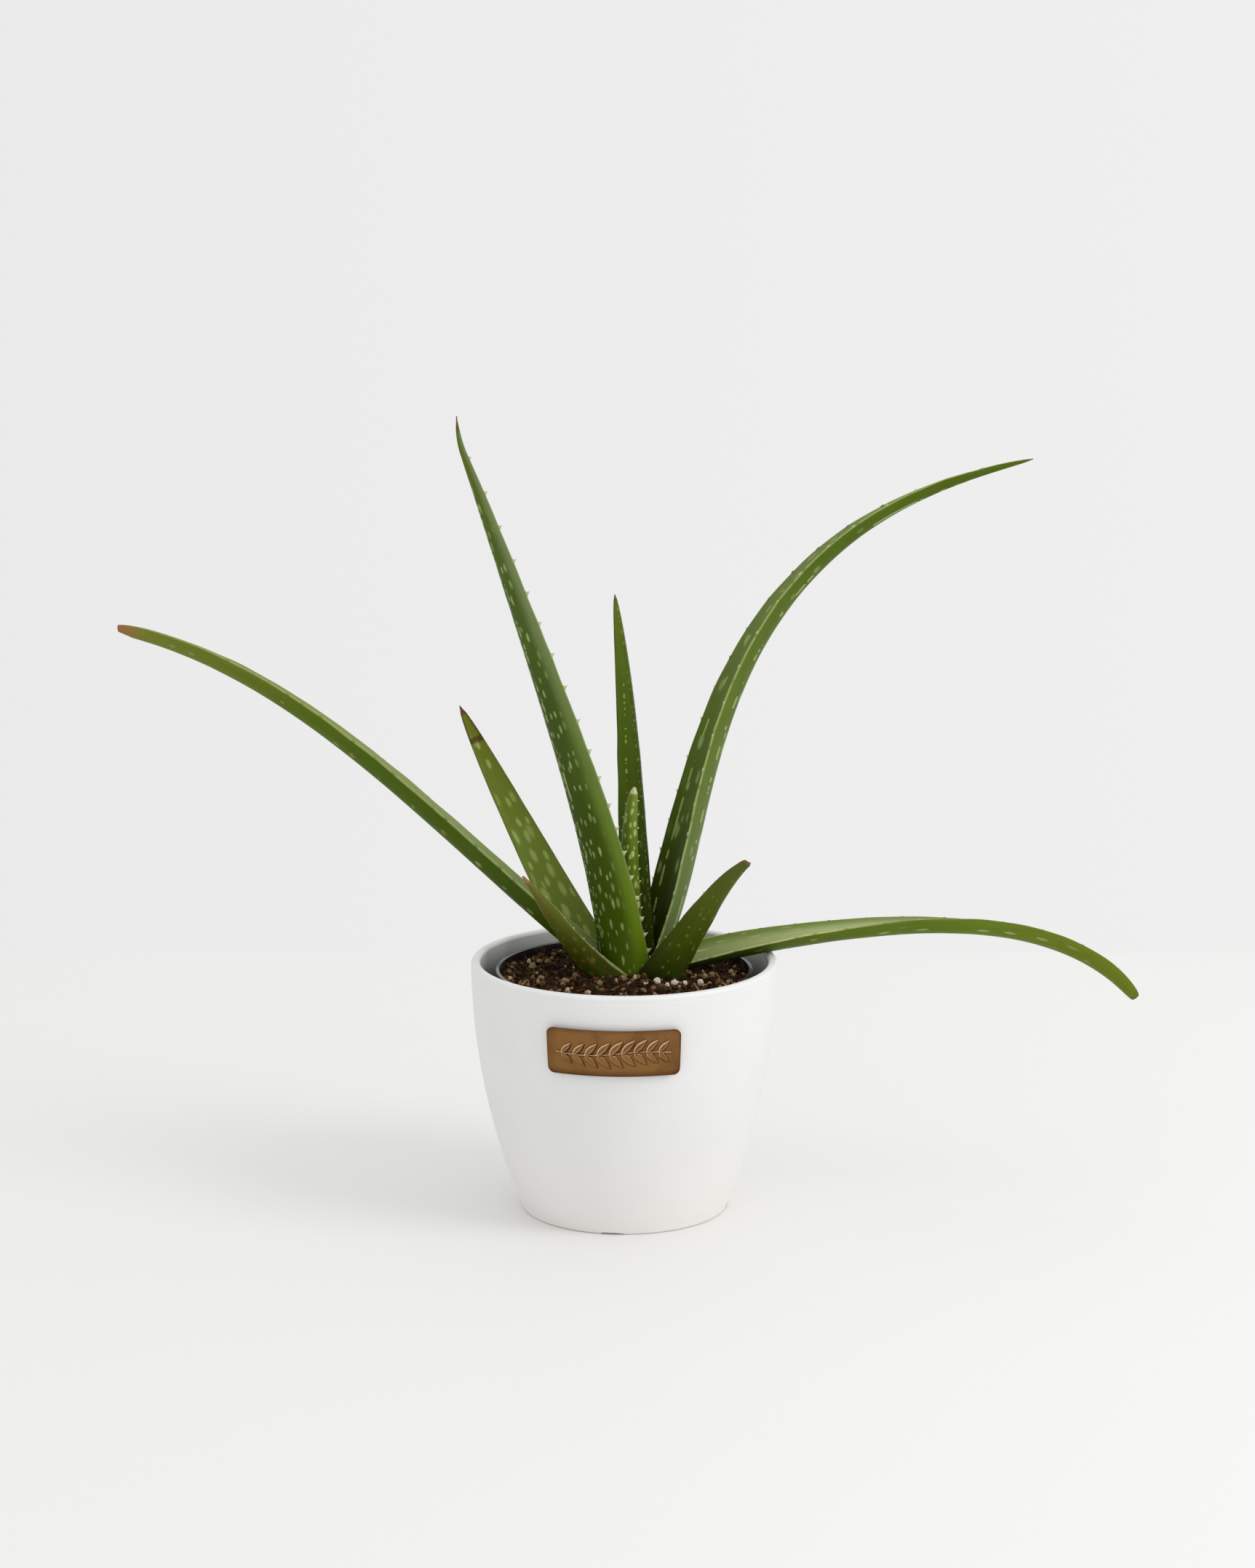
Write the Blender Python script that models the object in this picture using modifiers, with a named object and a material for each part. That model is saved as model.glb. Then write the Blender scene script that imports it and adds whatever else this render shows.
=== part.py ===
"""A young aloe in a thin grow pot that stands inside a white outer pot with a copper label plate.

Metres, +Z up. The origin is the centre of the outer pot's foot, on the surface that it stands on.
+X is to the right and -Y to the front, where the label is.
"""

import math

import bmesh
import bpy
from mathutils import Vector

MM = 0.001
SEAT_GAP = 0.3 * MM  # left between any two pieces that touch

# Outer pot: its outside wall is an arc from the foot to the rim, where it is upright.
POT_HEIGHT = 105 * MM
POT_RIM_RADIUS = 63 * MM
POT_FOOT_RADIUS = 42.3 * MM
POT_WALL = 3 * MM
POT_FLOOR = 3 * MM
LIP_WIDTH = 3.8 * MM
LIP_DEPTH = 5 * MM
LIP_ROUNDING = 1.5 * MM
FOOT_HEIGHT = 1.5 * MM
FOOT_WIDTH = 5 * MM
FOOT_ROUNDING = 1.2 * MM
NOTCH_COUNT = 4
NOTCH_WIDTH = 8 * MM
NOTCH_HEIGHT = 0.8 * MM
NOTCH_ANGLE = math.radians(263)
POT_STEPS = 64

# Grow pot: stands on the outer pot's floor.
GROW_RIM_DROP = 4 * MM
GROW_RIM_GAP = 6.2 * MM  # between its rim and the outer pot's lip
GROW_BASE_GAP = 3.3 * MM  # between its base and the outer pot's wall
GROW_WALL = 0.9 * MM
GROW_LIP_WIDTH = 1.6 * MM
GROW_LIP_HEIGHT = 1.5 * MM
GROW_BAND_HEIGHT = 11 * MM
GROW_BAND_STEP = 1.2 * MM
DRAIN_COUNT = 6
DRAIN_RADIUS = 4 * MM
DRAIN_INSET = 11 * MM  # from the base's edge to a drain's centre

# Potting mix: fills the grow pot, a little higher in the middle.
MIX_DROP = 3.2 * MM  # below the grow pot's rim, at the wall
MIX_DOME = 2.0 * MM

# Stem: short, most of it in the mix.
STEM_CENTRE = Vector((4 * MM, 3 * MM))
STEM_RADIUS = 6.6 * MM
STEM_ROOT_RADIUS = 3 * MM
STEM_LENGTH = 24 * MM
STEM_ABOVE_MIX = 2 * MM
STEM_STEPS = 20
CROWN_HOLLOW = 2 * MM  # width of the hollow in the mix, between the stem and the leaf bases
CROWN_DEPTH = 4 * MM

# Label plate and the adhesive pad behind it, both bent round the outer pot's wall.
LABEL_WIDTH = 53 * MM
LABEL_HEIGHT = 19 * MM
LABEL_THICKNESS = 1.2 * MM
LABEL_CORNER = 2.6 * MM
LABEL_DROP = 23 * MM  # from the rim to the label's middle
LABEL_ANGLE = math.radians(266)
PAD_THICKNESS = 0.8 * MM
PAD_INSET = 3 * MM
PAD_CORNER = 1.5 * MM

# Each leaf, from the innermost out. base is where its midrib meets the mix, in mm: x, y, and the height above
# the grow pot's rim.
# azimuth is the way it leans and sweep how far that turns by the tip. rise is its angle above level at the
# base, a third of the way, two thirds of the way and the tip. faces is the way its outer side looks at the base.
# width and thickness are at the base, taper is how fast the blade narrows, and tip the share that a blunt end
# keeps. curl is how far the margins stand up, as a share of half the width.
# neck is the share of the width that a blade loses at its base, where other blades crowd it, and root how far
# it runs on below its base, 5 mm if not given.
LEAVES = {
    "leaf_heart": dict(base=(4, 2.5, -2), azimuth=205, sweep=0, length=77.5, rise=(84, 92, 83, 102),
                       faces=267, width=8.6, thickness=2.6, taper=0.31, curl=0.45, twist=3),
    "leaf_centre": dict(base=(7.9, 8, -2.8), azimuth=107, sweep=6, length=156, rise=(76, 89.5, 76, 68.5),
                        faces=66, width=16.5, thickness=5.5, taper=0.55, curl=0.56, twist=-28),
    "leaf_tall": dict(base=(-0.2, -0.5, -3.3), azimuth=215, sweep=12, length=252.5, rise=(83, 61, 70.5, 62.5),
                      faces=254, width=21.5, thickness=6, taper=0.66, curl=0.27, twist=-31),
    "leaf_arched": dict(base=(9.3, 5, 0.6), azimuth=35, sweep=-30, length=284, rise=(60.5, 107.5, 21, 11.5),
                        faces=31, width=22.8, thickness=7.5, taper=0.6, curl=0.46, twist=-31, neck=0.4),
    "leaf_short_left": dict(base=(-10.1, 12, -4.7), azimuth=140, sweep=-4, length=130, rise=(48.5, 54.5, 51, 53.5),
                            faces=105, width=19, thickness=5, taper=0.57, curl=0.3, twist=0, neck=0.5),
    "leaf_long_left": dict(base=(-3.9, 1.5, -1.6), azimuth=171.5, sweep=-8.5, length=256, rise=(37.5, 45.5, 40, 6.5),
                           faces=169, width=15.7, thickness=5.8, taper=0.19, curl=0.42, twist=7),
    "leaf_long_right": dict(base=(13.7, 4.5, -0.9), azimuth=10.7, sweep=-22, length=208.5, rise=(15, 0, 20.5, -52),
                            faces=17, width=16, thickness=4.9, taper=0.17, curl=0.39, twist=-49, neck=0.35, root=2),
    "leaf_front_left": dict(base=(-5.3, -5.5, -6), azimuth=206, sweep=5, length=64.5, rise=(41, 53, 60, 50.5),
                            faces=235, width=15.3, thickness=3.6, taper=0.77, tip=0.05, curl=0.3, twist=0),
    "leaf_short_right": dict(base=(14.5, -6.5, -4.3), azimuth=-25, sweep=-3, length=67.5, rise=(59, 52, 66, 38),
                             faces=-76, width=17.4, thickness=4.5, taper=0.73, tip=0.11, curl=0.3, twist=17),
}
TIP_TURN = {"leaf_tall": 27}  # degrees that a dry tip bends up
TIP_TURN_SHARE = 0.06
NECK_SHARE = 0.16
BLADE_STATIONS = 20
BLADE_RING = 12
TIP_HALF_WIDTH = 0.35 * MM

# Pumice stones that lie on the mix: x, y, width, depth and height, in mm.
STONES = [
    (13.5, -19.5, 4.2, 3.6, 3.4), (17.5, -22.5, 2.6, 2.4, 2.3), (20.5, -20.5, 3.8, 3.2, 3.1),
    (24.5, -20, 2.8, 2.6, 2.6), (31, -19, 3.2, 3.4, 3.2), (-10, -22, 3.6, 3, 2.8),
    (-24, -18, 4.4, 3.8, 3.2), (-34, -12, 4, 3.6, 3), (-38, 8, 4.6, 4, 3.4),
    (-20, -9, 3.2, 3, 2.8), (33, -8, 3.4, 3, 2.6), (12, 27, 4, 3.6, 3),
]


def clear_scene():
    for obj in list(bpy.data.objects):
        bpy.data.objects.remove(obj, do_unlink=True)


def new_collection(name):
    collection = bpy.data.collections.new(name)
    bpy.context.scene.collection.children.link(collection)
    return collection


def new_material(name, colour, roughness, metallic=0.0):
    material = bpy.data.materials.new(name)
    material.use_nodes = True
    shader = material.node_tree.nodes["Principled BSDF"]
    shader.inputs["Base Color"].default_value = (*colour, 1)
    shader.inputs["Roughness"].default_value = roughness
    shader.inputs["Metallic"].default_value = metallic
    material.diffuse_color = (*colour, 1)
    return material


def add_mesh(name, mesh, collection, material=None, smooth_angle=None):
    obj = bpy.data.objects.new(name, mesh)
    collection.objects.link(obj)
    if material:
        mesh.materials.append(material)
    if smooth_angle:
        mesh.shade_smooth()
        mesh.set_sharp_from_angle(angle=smooth_angle)
    return obj


def as_cutter(obj):
    obj.hide_render = True
    obj.display_type = "WIRE"
    return obj


def cut(obj, cutter):
    boolean = obj.modifiers.new("cut by " + cutter.name, "BOOLEAN")
    boolean.operation = "DIFFERENCE"
    boolean.object = cutter
    return boolean


def arc(centre, radius, start, end, steps=4):
    """Points (r, z) of a profile's rounded corner, with the angles in degrees."""
    angles = [math.radians(start + (end - start) * i / steps) for i in range(steps + 1)]
    return [(centre[0] + radius * math.cos(a), centre[1] + radius * math.sin(a)) for a in angles]


def turned(name, profile, collection, material=None, steps=POT_STEPS, centre=(0, 0)):
    """A solid of revolution. The profile goes up any inside, then down the outside."""
    mesh = bpy.data.meshes.new(name)
    edges = [(i, i + 1) for i in range(len(profile) - 1)]
    mesh.from_pydata([(r, 0, z) for r, z in profile], edges, [])
    obj = add_mesh(name, mesh, collection, material)
    obj.location = (*centre, 0)
    screw = obj.modifiers.new("turn", "SCREW")
    screw.steps = steps
    screw.render_steps = steps
    screw.use_merge_vertices = True
    screw.merge_threshold = 0.00001
    return obj


def loft(name, rings, collection, material=None):
    """Skins closed rings of equal length, one after the other, and caps both ends."""
    bm = bmesh.new()
    loops = [[bm.verts.new(point) for point in ring] for ring in rings]
    for low, high in zip(loops, loops[1:]):
        for i in range(len(low)):
            j = (i + 1) % len(low)
            bm.faces.new((low[i], low[j], high[j], high[i]))
    bm.faces.new(list(reversed(loops[0])))
    bm.faces.new(loops[-1])
    bmesh.ops.recalc_face_normals(bm, faces=bm.faces)
    mesh = bpy.data.meshes.new(name)
    bm.to_mesh(mesh)
    bm.free()
    return add_mesh(name, mesh, collection, material, smooth_angle=math.radians(50))


# Outer pot


def pot_radius(z):
    """Radius of the outer pot's outside wall at height z."""
    flare = POT_RIM_RADIUS - POT_FOOT_RADIUS
    bow_radius = (POT_HEIGHT**2 + flare**2) / (2 * flare)
    return POT_RIM_RADIUS - bow_radius + math.sqrt(bow_radius**2 - (POT_HEIGHT - z) ** 2)


def pot_floor_top():
    return FOOT_HEIGHT + POT_FLOOR


def make_outer_pot(collection, cutters, material):
    wall_heights = [pot_floor_top() + 3 * MM + i * (POT_HEIGHT - LIP_DEPTH - pot_floor_top() - 3 * MM) / 7
                    for i in range(8)]
    inner_lip = POT_RIM_RADIUS - LIP_WIDTH
    base = pot_radius(0) - FOOT_ROUNDING
    inner_base = pot_radius(pot_floor_top()) - POT_WALL - 2 * MM
    profile = [(0, pot_floor_top()), (inner_base, pot_floor_top())]
    profile += [(pot_radius(z) - POT_WALL, z) for z in wall_heights]
    profile += arc((inner_lip + LIP_ROUNDING, POT_HEIGHT - LIP_ROUNDING), LIP_ROUNDING, 180, 90)
    profile += arc((POT_RIM_RADIUS - LIP_ROUNDING, POT_HEIGHT - LIP_ROUNDING), LIP_ROUNDING, 90, 0)
    outer_heights = [POT_HEIGHT - 2 * LIP_ROUNDING - i * (POT_HEIGHT - 2 * LIP_ROUNDING - FOOT_ROUNDING) / 10
                     for i in range(11)]
    profile += [(pot_radius(z), z) for z in outer_heights]
    profile += arc((pot_radius(FOOT_ROUNDING) - FOOT_ROUNDING, FOOT_ROUNDING), FOOT_ROUNDING, -20, -90, 3)
    foot_inner = base - FOOT_WIDTH
    profile += [(foot_inner, 0), (foot_inner - 0.5 * MM, FOOT_HEIGHT), (0, FOOT_HEIGHT)]
    pot = turned("outer_pot", profile, collection, material)
    for i in range(NOTCH_COUNT):
        angle = NOTCH_ANGLE + i * math.tau / NOTCH_COUNT
        bm = bmesh.new()
        bmesh.ops.create_cube(bm, size=1)
        bmesh.ops.scale(bm, vec=(3 * FOOT_WIDTH, NOTCH_WIDTH, 2 * NOTCH_HEIGHT), verts=bm.verts)
        mesh = bpy.data.meshes.new(f"notch_cutter_{i + 1}")
        bm.to_mesh(mesh)
        bm.free()
        notch = as_cutter(add_mesh(mesh.name, mesh, cutters))
        middle = foot_inner + FOOT_WIDTH / 2
        notch.location = (middle * math.cos(angle), middle * math.sin(angle), 0)
        notch.rotation_euler.z = angle
        cut(pot, notch)
    return pot


# Grow pot


def grow_rim_height():
    return POT_HEIGHT - GROW_RIM_DROP


def grow_rim_radius():
    return POT_RIM_RADIUS - LIP_WIDTH - GROW_RIM_GAP


def grow_base_radius():
    return POT_FOOT_RADIUS - POT_WALL - GROW_BASE_GAP


def grow_foot_height():
    return pot_floor_top() + SEAT_GAP


def grow_band_height():
    """Height of the step under the grow pot's rim band."""
    return grow_rim_height() - GROW_BAND_HEIGHT


def grow_radius(z):
    """Radius of the grow pot's outside wall at height z."""
    band = grow_rim_radius() - GROW_LIP_WIDTH + GROW_WALL
    if z >= grow_band_height():
        return band
    share = (z - grow_foot_height()) / (grow_band_height() - grow_foot_height())
    return grow_base_radius() + share * (band - GROW_BAND_STEP - grow_base_radius())


def make_grow_pot(collection, cutters, material):
    foot, rim, band = grow_foot_height(), grow_rim_height(), grow_band_height()
    inner_foot = foot + GROW_WALL
    profile = [(0, inner_foot), (grow_radius(inner_foot) - GROW_WALL, inner_foot)]
    profile += [(grow_radius(band - MM) - GROW_WALL, band - MM)]
    profile += [(grow_radius(band) - GROW_WALL, band)]
    profile += [(grow_radius(rim) - GROW_WALL, rim - 0.3 * MM), (grow_radius(rim) - GROW_WALL + 0.3 * MM, rim)]
    profile += [(grow_rim_radius() - 0.3 * MM, rim), (grow_rim_radius(), rim - 0.3 * MM)]
    profile += [(grow_rim_radius(), rim - GROW_LIP_HEIGHT), (grow_radius(band), rim - GROW_LIP_HEIGHT)]
    profile += [(grow_radius(band), band), (grow_radius(band - MM), band - MM)]
    profile += [(grow_base_radius(), foot), (0, foot)]
    pot = turned("grow_pot", profile, collection, material)
    for i in range(DRAIN_COUNT):
        angle = i * math.tau / DRAIN_COUNT
        bm = bmesh.new()
        bmesh.ops.create_cone(bm, cap_ends=True, segments=16, radius1=DRAIN_RADIUS, radius2=DRAIN_RADIUS,
                              depth=6 * GROW_WALL)
        mesh = bpy.data.meshes.new(f"drain_cutter_{i + 1}")
        bm.to_mesh(mesh)
        bm.free()
        drain = as_cutter(add_mesh(mesh.name, mesh, cutters))
        circle = grow_base_radius() - DRAIN_INSET
        drain.location = (circle * math.cos(angle), circle * math.sin(angle), foot)
        cut(pot, drain)
    return pot


# Potting mix and stem


def mix_edge_height():
    return grow_rim_height() - MIX_DROP


def mix_edge_radius():
    return grow_radius(mix_edge_height()) - GROW_WALL - SEAT_GAP


def mix_height(radius):
    """Height of the mix's surface at this distance from the pot's axis."""
    share = min(1, radius / mix_edge_radius())
    return mix_edge_height() + MIX_DOME * math.cos(share * math.pi / 2) ** 2


def make_potting_mix(collection, material):
    bottom = grow_foot_height() + GROW_WALL + SEAT_GAP
    band = grow_band_height()
    edge = mix_edge_radius()
    profile = [(edge * i / 8, mix_height(edge * i / 8)) for i in range(9)]
    profile += [(edge, band + 0.5 * MM), (grow_radius(band - MM) - GROW_WALL - SEAT_GAP, band - MM)]
    profile += [(grow_radius(bottom) - GROW_WALL - SEAT_GAP, bottom), (0, bottom)]
    return turned("potting_mix", profile, collection, material)


def stem_profile(grow):
    """The stem's outline, made larger all round by grow."""
    top = mix_height(STEM_CENTRE.length) + STEM_ABOVE_MIX
    bottom = top - STEM_LENGTH
    radius = STEM_RADIUS + grow
    return [(0, top + grow), (0.6 * radius, top + grow - 0.4 * MM), (radius, top - 2 * MM),
            (radius, top - 0.55 * STEM_LENGTH), (STEM_ROOT_RADIUS + grow, bottom - grow), (0, bottom - grow)]


def make_crown_cutter(cutters):
    top = mix_height(STEM_CENTRE.length)
    radius = STEM_RADIUS + CROWN_HOLLOW
    profile = [(0, top + MIX_DOME), (radius, top + MIX_DOME), (radius, top - CROWN_DEPTH), (0, top - CROWN_DEPTH)]
    return as_cutter(turned("crown_cutter", profile, cutters, None, STEM_STEPS, STEM_CENTRE))


# Leaves


def leaf_spine(name, grow):
    """Midrib points, their directions and their shares of the leaf's length, from the root to the tip."""
    leaf = LEAVES[name]
    shares = [1 - (1 - i / (BLADE_STATIONS - 1)) ** 1.4 for i in range(BLADE_STATIONS)]
    directions = []
    for share in shares:
        rest = 1 - share
        weights = (rest**3, 3 * rest**2 * share, 3 * rest * share**2, share**3)
        rise = sum(weight * angle for weight, angle in zip(weights, leaf["rise"]))
        rise += TIP_TURN.get(name, 0) * max(0, 1 - rest / TIP_TURN_SHARE)
        rise = math.radians(rise)
        turn = math.radians(leaf["azimuth"] + leaf["sweep"] * share)
        level = math.cos(rise)
        directions.append(Vector((level * math.cos(turn), level * math.sin(turn), math.sin(rise))))
    points = [Vector(leaf["base"]) * MM + Vector((0, 0, grow_rim_height()))]
    for i in range(1, BLADE_STATIONS):
        step = leaf["length"] * MM * (shares[i] - shares[i - 1])
        points.append(points[-1] + (directions[i - 1] + directions[i]).normalized() * step)
    points[-1] += directions[-1] * grow
    points.insert(0, points[0] - directions[0] * (leaf.get("root", 5) * MM + grow))
    return points, [directions[0], *directions], [0, *shares]


def blade_ring(leaf, share, centre, across, inward, grow):
    """One slice of a leaf: hollow on the inner side, full on the outer side, with thin margins."""
    narrowing = (1 - share * (1 - leaf.get("tip", 0))) ** leaf["taper"]
    neck = 1 - leaf.get("neck", 0) * max(0, 1 - share / NECK_SHARE) ** 1.5
    half_width = max(TIP_HALF_WIDTH, leaf["width"] * MM / 2 * narrowing * neck)
    thickness = max(1.4 * TIP_HALF_WIDTH, leaf["thickness"] * MM * narrowing**0.8)
    lift = leaf["curl"] * half_width
    outline = []
    for i in range(BLADE_RING):
        angle = math.tau * i / BLADE_RING
        side, height = math.cos(angle), math.sin(angle)
        depth = (0.12 if height > 0 else 0.88) * thickness
        outline.append(Vector((half_width * side, lift * side**2 + depth * height)))
    return [centre + across * point.x + inward * point.y for point in grown_outline(outline, grow)]


def grown_outline(outline, grow):
    """A closed flat outline, anticlockwise, with every side moved out by grow."""
    points = []
    for before, point, after in zip(outline[-1:] + outline[:-1], outline, outline[1:] + outline[:1]):
        first, second = (point - before).normalized(), (after - point).normalized()
        outward = Vector((first.y + second.y, -first.x - second.x)).normalized()
        reach = grow / max(0.5, outward.dot(Vector((first.y, -first.x))))
        points.append(point + outward * reach)
    return points


def make_leaf(name, collection, material=None, grow=0.0):
    leaf = LEAVES[name]
    faces = math.radians(leaf["faces"])
    inward = -Vector((math.cos(faces), math.sin(faces), 0))
    rings, last = [], None
    for centre, along, share in zip(*leaf_spine(name, grow)):
        if last:
            inward = last.rotation_difference(along) @ inward
        inward = (inward - along * inward.dot(along)).normalized()
        twist = math.radians(leaf["twist"] * share)
        twisted = inward * math.cos(twist) + along.cross(inward) * math.sin(twist)
        rings.append(blade_ring(leaf, share, centre, along.cross(twisted), twisted, grow))
        last = along
    return loft(name if material else name + "_cutter", rings, collection, material)


# Label plate and pad


def make_wall_plate(name, width, height, corner, inside, outside, collection, material):
    """A plate with rounded corners that follows the outer pot's wall, from inside to outside off it."""
    corner_steps, middle_steps, upright_steps = 4, 12, 4
    straight = width / 2 - corner
    corner_places = [corner * math.sin(math.pi / 2 * i / corner_steps) for i in range(1, corner_steps + 1)]
    places = [-straight - c for c in reversed(corner_places)]
    places += [-straight + 2 * straight * i / middle_steps for i in range(middle_steps + 1)]
    places += [straight + c for c in corner_places]
    middle = POT_HEIGHT - LABEL_DROP
    rings = []
    for place in places:
        past = max(0, abs(place) - straight)
        half = height / 2 - corner + math.sqrt(max(0, corner**2 - past**2))
        angle = LABEL_ANGLE + place / pot_radius(middle)
        heights = [middle - half + 2 * half * i / upright_steps for i in range(upright_steps + 1)]
        slice_points = [(pot_radius(z) + outside, z) for z in heights]
        slice_points += [(pot_radius(z) + inside, z) for z in reversed(heights)]
        rings.append([(r * math.cos(angle), r * math.sin(angle), z) for r, z in slice_points])
    return loft(name, rings, collection, material)


# Pumice stones


def make_stone(number, place, collection, material):
    x, y, width, depth, height = (value * MM for value in place)
    bm = bmesh.new()
    bmesh.ops.create_icosphere(bm, subdivisions=1, radius=0.5)
    bmesh.ops.scale(bm, vec=(width, depth, height), verts=bm.verts)
    mesh = bpy.data.meshes.new(f"pumice_{number:02d}")
    bm.to_mesh(mesh)
    bm.free()
    stone = add_mesh(mesh.name, mesh, collection, material)
    stone.location = (x, y, mix_height(math.hypot(x, y)) + height / 2 + SEAT_GAP)
    stone.rotation_euler.z = math.radians(47 * number)
    return stone


def main():
    clear_scene()
    plant = new_collection("potted_aloe")
    cutters = new_collection("cutters")
    white = new_material("white_plastic", (0.86, 0.86, 0.87), 0.5)
    black = new_material("black_plastic", (0.02, 0.02, 0.025), 0.35)
    soil = new_material("potting_mix", (0.06, 0.035, 0.022), 0.95)
    stem_green = new_material("stem", (0.35, 0.36, 0.16), 0.6)
    leaf_green = new_material("leaf", (0.08, 0.17, 0.04), 0.4)
    pumice = new_material("pumice", (0.72, 0.66, 0.55), 0.9)
    copper = new_material("copper", (0.42, 0.22, 0.09), 0.4, 0.8)
    adhesive = new_material("adhesive", (0.8, 0.8, 0.8), 0.7)

    make_outer_pot(plant, cutters, white)
    make_grow_pot(plant, cutters, black)
    mix = make_potting_mix(plant, soil)

    turned("stem", stem_profile(0), plant, stem_green, STEM_STEPS, STEM_CENTRE)
    inner_pieces = [as_cutter(turned("stem_cutter", stem_profile(SEAT_GAP), cutters, None, STEM_STEPS,
                                     STEM_CENTRE))]
    for name in LEAVES:
        blade = make_leaf(name, plant, leaf_green)
        for piece in inner_pieces:
            cut(blade, piece)
        inner_pieces.append(as_cutter(make_leaf(name, cutters, grow=SEAT_GAP)))
    for piece in [*inner_pieces, make_crown_cutter(cutters)]:
        cut(mix, piece)

    pad_back = SEAT_GAP
    plate_back = pad_back + PAD_THICKNESS + SEAT_GAP
    make_wall_plate("label_pad", LABEL_WIDTH - 2 * PAD_INSET, LABEL_HEIGHT - 2 * PAD_INSET, PAD_CORNER,
                    pad_back, pad_back + PAD_THICKNESS, plant, adhesive)
    make_wall_plate("label_plate", LABEL_WIDTH, LABEL_HEIGHT, LABEL_CORNER,
                    plate_back, plate_back + LABEL_THICKNESS, plant, copper)
    for number, place in enumerate(STONES, 1):
        make_stone(number, place, plant, pumice)


main()
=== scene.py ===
import math

import bmesh
import bpy
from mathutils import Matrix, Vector, noise


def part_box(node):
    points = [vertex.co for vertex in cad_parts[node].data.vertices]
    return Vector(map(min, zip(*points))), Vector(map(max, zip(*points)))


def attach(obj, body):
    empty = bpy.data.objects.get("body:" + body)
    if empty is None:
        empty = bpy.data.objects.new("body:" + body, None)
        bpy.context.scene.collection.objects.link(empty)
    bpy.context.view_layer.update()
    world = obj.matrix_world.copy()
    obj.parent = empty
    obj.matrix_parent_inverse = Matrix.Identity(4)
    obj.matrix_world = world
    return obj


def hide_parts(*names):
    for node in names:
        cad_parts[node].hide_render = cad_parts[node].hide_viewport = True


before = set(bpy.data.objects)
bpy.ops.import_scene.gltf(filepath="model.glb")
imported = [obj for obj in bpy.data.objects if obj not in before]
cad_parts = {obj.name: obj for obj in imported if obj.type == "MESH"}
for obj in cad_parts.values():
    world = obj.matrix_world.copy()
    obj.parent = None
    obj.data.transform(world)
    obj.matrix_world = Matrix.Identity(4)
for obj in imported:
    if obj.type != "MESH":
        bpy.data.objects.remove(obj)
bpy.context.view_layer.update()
scene = bpy.context.scene
scene.view_settings.view_transform = "Standard"
mm = 0.001

potLow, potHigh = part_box("outer_pot")
potTop = potHigh.z
potRadius = (potHigh.x - potLow.x) / 2
growLow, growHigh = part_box("grow_pot")
growTop = growHigh.z
growRadius = (growHigh.x - growLow.x) / 2


def linked(name, data):
    made = bpy.data.objects.new(name, data)
    scene.collection.objects.link(made)
    return made


# Camera: a long lens a little above the plant, looking down at it.
view = {"place": (0.00135, -1.5, 0.4845), "down": 11.54, "lens": 86.2, "sensor": 36}
cameraData = bpy.data.cameras.new("plantCamera")
cameraData.lens = view["lens"]
cameraData.sensor_width = view["sensor"]
camera = linked("plantCamera", cameraData)
camera.location = view["place"]
camera.rotation_euler = (math.radians(90 - view["down"]), 0, 0)
scene.camera = camera
print("camera set")


# Node trees, for materials and for geometry.


class Value:
    # A socket that can be used in sums.
    def __init__(self, tree, socket):
        self.tree = tree
        self.socket = socket

    def of(self, output):
        return Value(self.tree, self.socket.node.outputs[output])

    def __add__(self, other):
        return self.tree.maths("ADD", self, other)

    def __radd__(self, other):
        return self.tree.maths("ADD", other, self)

    def __sub__(self, other):
        return self.tree.maths("SUBTRACT", self, other)

    def __rsub__(self, other):
        return self.tree.maths("SUBTRACT", other, self)

    def __mul__(self, other):
        return self.tree.maths("MULTIPLY", self, other)

    def __rmul__(self, other):
        return self.tree.maths("MULTIPLY", other, self)

    def __truediv__(self, other):
        return self.tree.maths("DIVIDE", self, other)

    def __rtruediv__(self, other):
        return self.tree.maths("DIVIDE", other, self)

    def __pow__(self, other):
        return self.tree.maths("POWER", self, other)

    def __neg__(self):
        return self.tree.maths("MULTIPLY", self, -1)

    def __abs__(self):
        return self.tree.maths("ABSOLUTE", self)


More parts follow.
